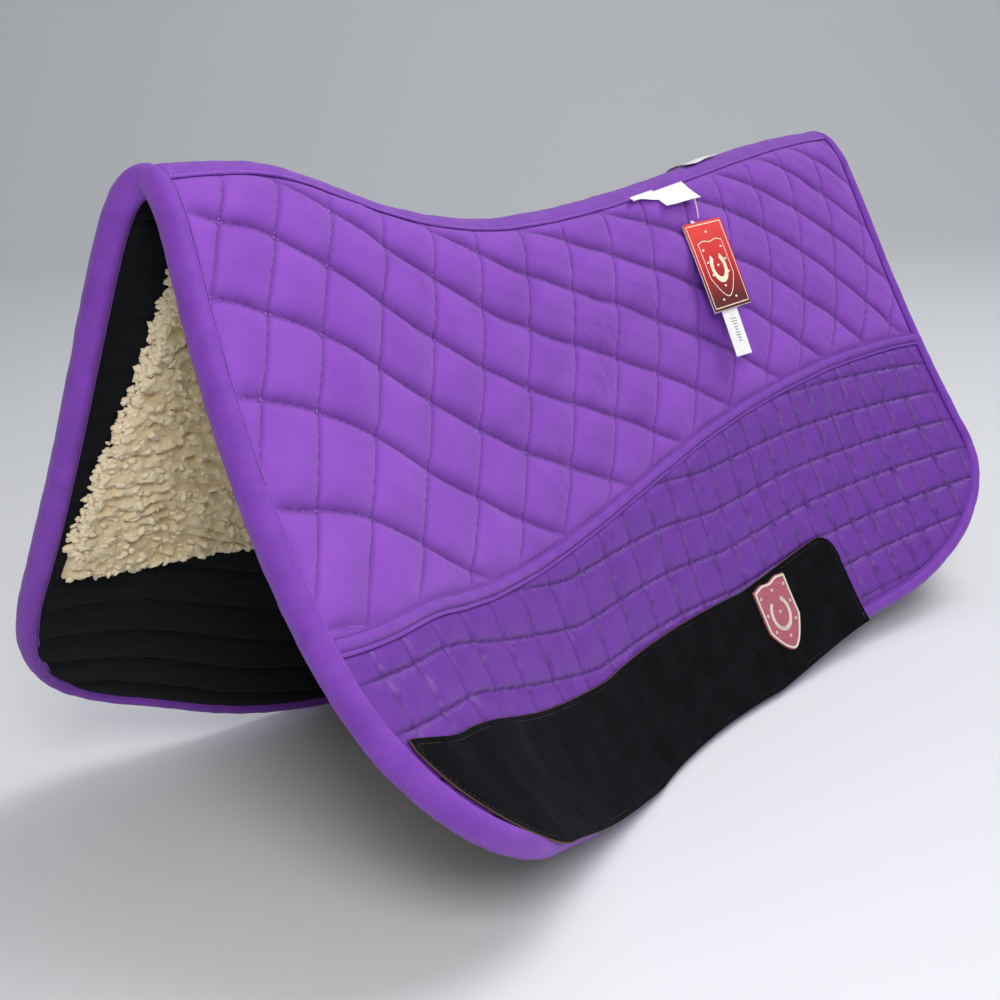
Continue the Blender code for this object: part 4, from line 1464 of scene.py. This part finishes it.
def add_labels(label):
    """The front label: a body that curls away from the pad, and a narrow tail."""
    x, y = np.meshgrid(
        np.linspace(-LABEL_WIDTH / 2, LABEL_WIDTH / 2, 33), np.linspace(0, 1, 15), indexing="ij"
    )
    slant = (x + LABEL_WIDTH / 2) / LABEL_WIDTH
    drop = y * (LABEL_DROP + 0.002 - 0.004 * slant)
    z = 0.0004 + 0.0022 * y**2 + 0.0006 * np.sin(slant * 5 + 0.6) * y
    made = sheet_in_frame("front_label_satin", label, x, drop, z, 0.00028, WHITE_SATIN)
    settle(made, "label_flap", "white_satin", "front_label")
    run, y = np.meshgrid(np.linspace(0, 1, 29), np.linspace(0, 1, 7), indexing="ij")
    curl = np.clip((run - 0.72) / 0.28, 0, 1)
    x = LABEL_WIDTH / 2 - 0.002 + 0.041 * run - 0.004 * curl**2
    width = mix(0.0100, 0.0042, smoothstep(run * 1.6))
    drop = -0.0012 + y * width + 0.0020 * curl
    z = 0.0012 + 0.0010 * run + 0.0030 * curl**1.5 + 0.0010 * (y - 0.5) * run
    made = sheet_in_frame("front_label_tail", label, x, drop, z, 0.00028, WHITE_SATIN)
    settle(made, "label_flap", "white_satin")


def add_tag_string(first, last, string_frame):
    first, last = np.array(first), np.array(last)
    share = np.linspace(0, 1, 40)[:, None]
    bow = np.array(string_frame)[:3, 2] * 0.0006
    points = mix(first, last, share) + bow * np.sin(share * math.pi)
    way = unit(last - first)
    aside = unit(np.cross(way, np.array(string_frame)[:3, 2]))
    outward = np.cross(aside, way)
    turn = np.arange(8) * math.pi / 4
    twist = share * 40
    radius = 0.0005 * (1 + 0.25 * np.cos(2 * (turn[None] + twist)))
    rings = (
        points[:, None]
        + aside * (np.cos(turn)[None] * radius)[..., None]
        + outward * (np.sin(turn)[None] * radius)[..., None]
    )
    made = tube("tag_string_cord", rings, STRING)
    settle(made, "string", "white_string", "tag_string")
    ball, faces = icosphere()
    knot = first + ball * 0.0012
    made = add_mesh("tag_string_knot", knot, faces.tolist(), STRING, sharp=0)
    volume_check(made)
    settle(made, "string", "white_string")


def card(name, matrix, size, offset, bow, material, slot_name, body, nodes=()):
    """A thin card that bends a little along its length. offset is its corner (x, y, z)."""
    width, height, thickness = size
    x, y = np.meshgrid(np.linspace(-0.5, 0.5, 13), np.linspace(0, 1, 25), indexing="ij")
    z = offset[2] + bow * (np.sin(y * math.pi) * 0.6 + y**2)
    sheet_x, sheet_y = offset[0] + x * width, offset[1] + y * height
    made = sheet_in_frame(name, matrix, sheet_x, sheet_y, z, thickness, material)
    return settle(made, body, slot_name, *nodes)


def strip_lines(name, matrix, lines, z, bow, width, material, slot_name, body):
    """Flat printed lines, as thin raised strips along lists of (x, y) places."""
    points, faces = [], []
    for line in lines:
        line = np.array(line, float)
        ahead = np.gradient(line, axis=0)
        ahead = ahead / np.maximum(np.linalg.norm(ahead, axis=1, keepdims=True), 1e-9)
        aside = np.stack([-ahead[:, 1], ahead[:, 0]], axis=-1) * width / 2
        start = sum(len(part) for part in points)
        block = []
        for level in (0.0, 0.00012):
            for edge_line in (line + aside, line - aside):
                share = edge_line[:, 1] / TAG_HEIGHT
                height = z + level + bow * (np.sin(share * math.pi) * 0.6 + share**2)
                block.append(np.column_stack([edge_line, height]))
        points.append(np.concatenate(block))
        count = len(line)
        a, b, c, d = (start + count * part for part in range(4))
        for step in range(count - 1):
            faces.append((c + step, d + step, d + step + 1, c + step + 1))
            faces.append((a + step, a + step + 1, b + step + 1, b + step))
            faces.append((a + step, c + step, c + step + 1, a + step + 1))
            faces.append((b + step, b + step + 1, d + step + 1, d + step))
        faces.append((a, b, d, c))
        faces.append((a + count - 1, c + count - 1, d + count - 1, b + count - 1))
    flat = np.concatenate(points)
    made = add_mesh(name, in_frame(matrix, flat), faces, material, False, flat, 30)
    volume_check(made)
    return settle(made, body, slot_name)


def rectangle(left, top, right, bottom):
    corners = [(left, top), (right, top), (right, bottom), (left, bottom), (left, top)]
    line = []
    for (x0, y0), (x1, y1) in zip(corners[:-1], corners[1:]):
        line += [(mix(x0, x1, s), mix(y0, y1, s)) for s in np.linspace(0, 1, 12)[:-1]]
    return [*line, corners[0]]


def add_tag(tag):
    bow = 0.0009
    for number, (shift, slide) in enumerate(((0.0, 0.0006), (0.0004, 0.0004), (0.0008, 0.0002))):
        card(f"hang_tag_page_{number}", tag, (TAG_WIDTH, TAG_HEIGHT, 0.00022),
             (-slide, slide, shift), bow, CARD, "printed_card", "tag")
    card("hang_tag_front", tag, (TAG_WIDTH, TAG_HEIGHT, 0.0003), (0, 0, 0.0013), bow, TAG_FRONT,
         "printed_card", "tag", ("hang_tag",))
    top = 0.00161
    half = TAG_WIDTH / 2
    border = [rectangle(-half + 0.0022, 0.0022, half - 0.0022, TAG_HEIGHT - 0.0022)]
    strip_lines(
        "hang_tag_border", tag, border, top, bow, 0.0007, PRINT_CREAM, "printed_card", "tag"
    )
    across, down = badge_outline(0.80)
    shield = [np.column_stack([across, down + 0.0385]).tolist()]
    shield[0].append(shield[0][0])
    strip_lines(
        "hang_tag_shield", tag, shield, top, bow, 0.0007, PRINT_CREAM, "printed_card", "tag"
    )
    arcs = []
    for radius in (0.0075, 0.0088, 0.0101):
        across, down = horseshoe(radius)
        arcs.append(np.column_stack([across, down + 0.037]).tolist())
    for x, y in ((0, 0.0085), (-0.0125, 0.022), (0.0125, 0.022), (-0.0125, 0.032), (0.0125, 0.032),
                 (-0.011, 0.042), (0.011, 0.042), (0, 0.052), (0, 0.0355), (-0.009, 0.062), (0.009, 0.062)):
        arcs.append([(x - 0.0012, y), (x, y), (x + 0.0012, y)])
    strip_lines("hang_tag_emblem", tag, arcs, top, bow, 0.0015, PRINT_CREAM, "printed_card", "tag")


def add_ticket(ticket):
    rise = 0.0020
    card("price_ticket_card", ticket, (0.0215, 0.1085, 0.0003), (0, -rise, 0.0), 0.0006, CARD,
         "ticket_card", "tag", ("price_ticket",))
    draw = np.random.default_rng(5)
    lines = []
    for number in range(9):
        y = 0.0775 + 0.0022 * number
        half = draw.uniform(0.002, 0.0045)
        lines.append([(-half - 0.001, y), (0, y), (half - 0.001, y)])
    strip_lines("price_ticket_marks", ticket, lines, 0.00031, 0.0006 , 0.0007, PRINT_GREY,
                "ticket_card", "tag")


def add_tags():
    label = frame_at(0.621, 0.0160, 0.0012)
    add_labels(label)
    tie = label @ Matrix.Translation((0.0045 - LABEL_WIDTH / 2, LABEL_DROP, 0.0005))
    middle = frame_at(0.6589, 0.0842, 0.0068)
    middle = middle @ Matrix.Rotation(math.radians(-5.2), 4, "Z")
    middle = middle @ Matrix.Rotation(math.radians(9.8), 4, "X")
    tag = middle @ Matrix.Translation((0, -TAG_HEIGHT / 2, 0))
    string_end = (tag @ Matrix.Translation((0, -0.0020, -0.0006))).translation
    string = tag.copy()
    string.translation = tie.translation
    add_tag_string(tie.translation, string_end, string)
    add_tag(tag)
    ticket = tag @ Matrix.Translation((0, 0, -0.0011))
    add_ticket(ticket @ Matrix.Rotation(math.radians(-2.1), 4, "Z"))


# Stage
def add_backdrop():
    """A pale floor that curves up into a wall."""
    across = np.linspace(-6, 6, 25)
    turn = np.linspace(0, math.pi / 2, 24)
    run = np.concatenate([np.linspace(-4, 2.6, 34), 2.6 + 1.6 * np.sin(turn)[1:], np.full(12, 4.2)])
    rise = np.concatenate([np.zeros(34), 1.6 * (1 - np.cos(turn))[1:], np.linspace(1.7, 5.5, 12)])
    away = np.array([-math.cos(CAMERA_YAW), -math.sin(CAMERA_YAW), 0.0])
    aside = np.array([-away[1], away[0], 0.0])
    points = run[None, :, None] * away + across[:, None, None] * aside
    points[..., 2] += rise[None]
    made = add_mesh("backdrop", points, grid_faces(len(across), len(run)), STAGE, sharp=0)


def stage_material():
    made = bpy.data.materials.new("studio_backdrop")
    made.use_nodes = True
    shader = made.node_tree.nodes["Principled BSDF"]
    shader.inputs["Base Color"].default_value = (0.78, 0.79, 0.81, 1)
    shader.inputs["Roughness"].default_value = 0.7
    shader.inputs["Specular IOR Level"].default_value = 0.2
    return made


def add_light(name, place_, target, size, power, colour):
    data = bpy.data.lights.new(name, "AREA")
    data.shape = "RECTANGLE"
    data.size, data.size_y = size
    data.energy = power
    data.color = colour
    made = bpy.data.objects.new(name, data)
    bpy.context.scene.collection.objects.link(made)
    made.location = place_
    way = made.location - bpy.context.scene.cursor.location.__class__(target)
    made.rotation_euler = way.to_track_quat("Z", "Y").to_euler()


CAMERA_YAW, CAMERA_PITCH, CAMERA_ROLL = 0.647, 0.302, -0.0316
CAMERA_PLACE = np.array((0.85054, 0.56314, 0.45768))
CAMERA_LENS = 51.05


def add_camera():
    forward = np.array([-math.cos(CAMERA_YAW), -math.sin(CAMERA_YAW), 0.0])
    right = np.cross(forward, (0, 0, 1.0))
    look = forward * math.cos(CAMERA_PITCH) - np.array([0, 0, math.sin(CAMERA_PITCH)])
    up = np.cross(right, look)
    turned_right = right * math.cos(CAMERA_ROLL) + up * math.sin(CAMERA_ROLL)
    turned_up = -right * math.sin(CAMERA_ROLL) + up * math.cos(CAMERA_ROLL)
    matrix = Matrix.Identity(4)
    for column, axis in enumerate((turned_right, turned_up, -look)):
        for row in range(3):
            matrix[row][column] = axis[row]
    matrix.translation = CAMERA_PLACE + ORIGIN_SHIFT
    data = bpy.data.cameras.new("camera")
    data.lens, data.sensor_width = CAMERA_LENS, 36.0
    made = bpy.data.objects.new("camera", data)
    bpy.context.scene.collection.objects.link(made)
    made.matrix_world = matrix
    bpy.context.scene.camera = made


def add_world():
    world = bpy.data.worlds.new("studio")
    world.use_nodes = True
    background = world.node_tree.nodes["Background"]
    background.inputs["Color"].default_value = (0.93, 0.96, 1.0, 1)
    background.inputs["Strength"].default_value = 0.34
    bpy.context.scene.world = world
    bpy.context.scene.view_settings.view_transform = "Standard"


STAGE = stage_material()
add_camera()
for side, mirrored in (("left", False), ("right", True)):
    add_cover(side, mirrored)
    add_skirt(side, mirrored)
    add_core(side, mirrored)
    add_lining(side, mirrored)
    add_fleece(side, mirrored)
    add_binding(side, mirrored)
    add_piping(side, mirrored)
    add_quilt_stitches(side, mirrored)
    add_leather(side, mirrored)
    add_badge(side, mirrored)
add_spine()
add_arch_binding("front_arch_binding", True)
add_arch_binding("rear_arch_binding", False)
add_rear_label()
add_tags()
add_backdrop()
add_light("key", (1.0, 0.85, 1.0), (0.25, 0.1, 0.2), (0.5, 0.5), 11.3, (1.0, 0.985, 0.97))
add_light("back", (-0.6, 0.8, 2.3), (0, 0.35, 0.0), (1.3, 1.3), 31, (1.0, 1.0, 1.0))
add_light("wall", (-1.4, -0.4, 2.8), (-3.0, -1.6, 1.1), (1.4, 1.4), 15, (0.97, 0.98, 1.0))
add_world()
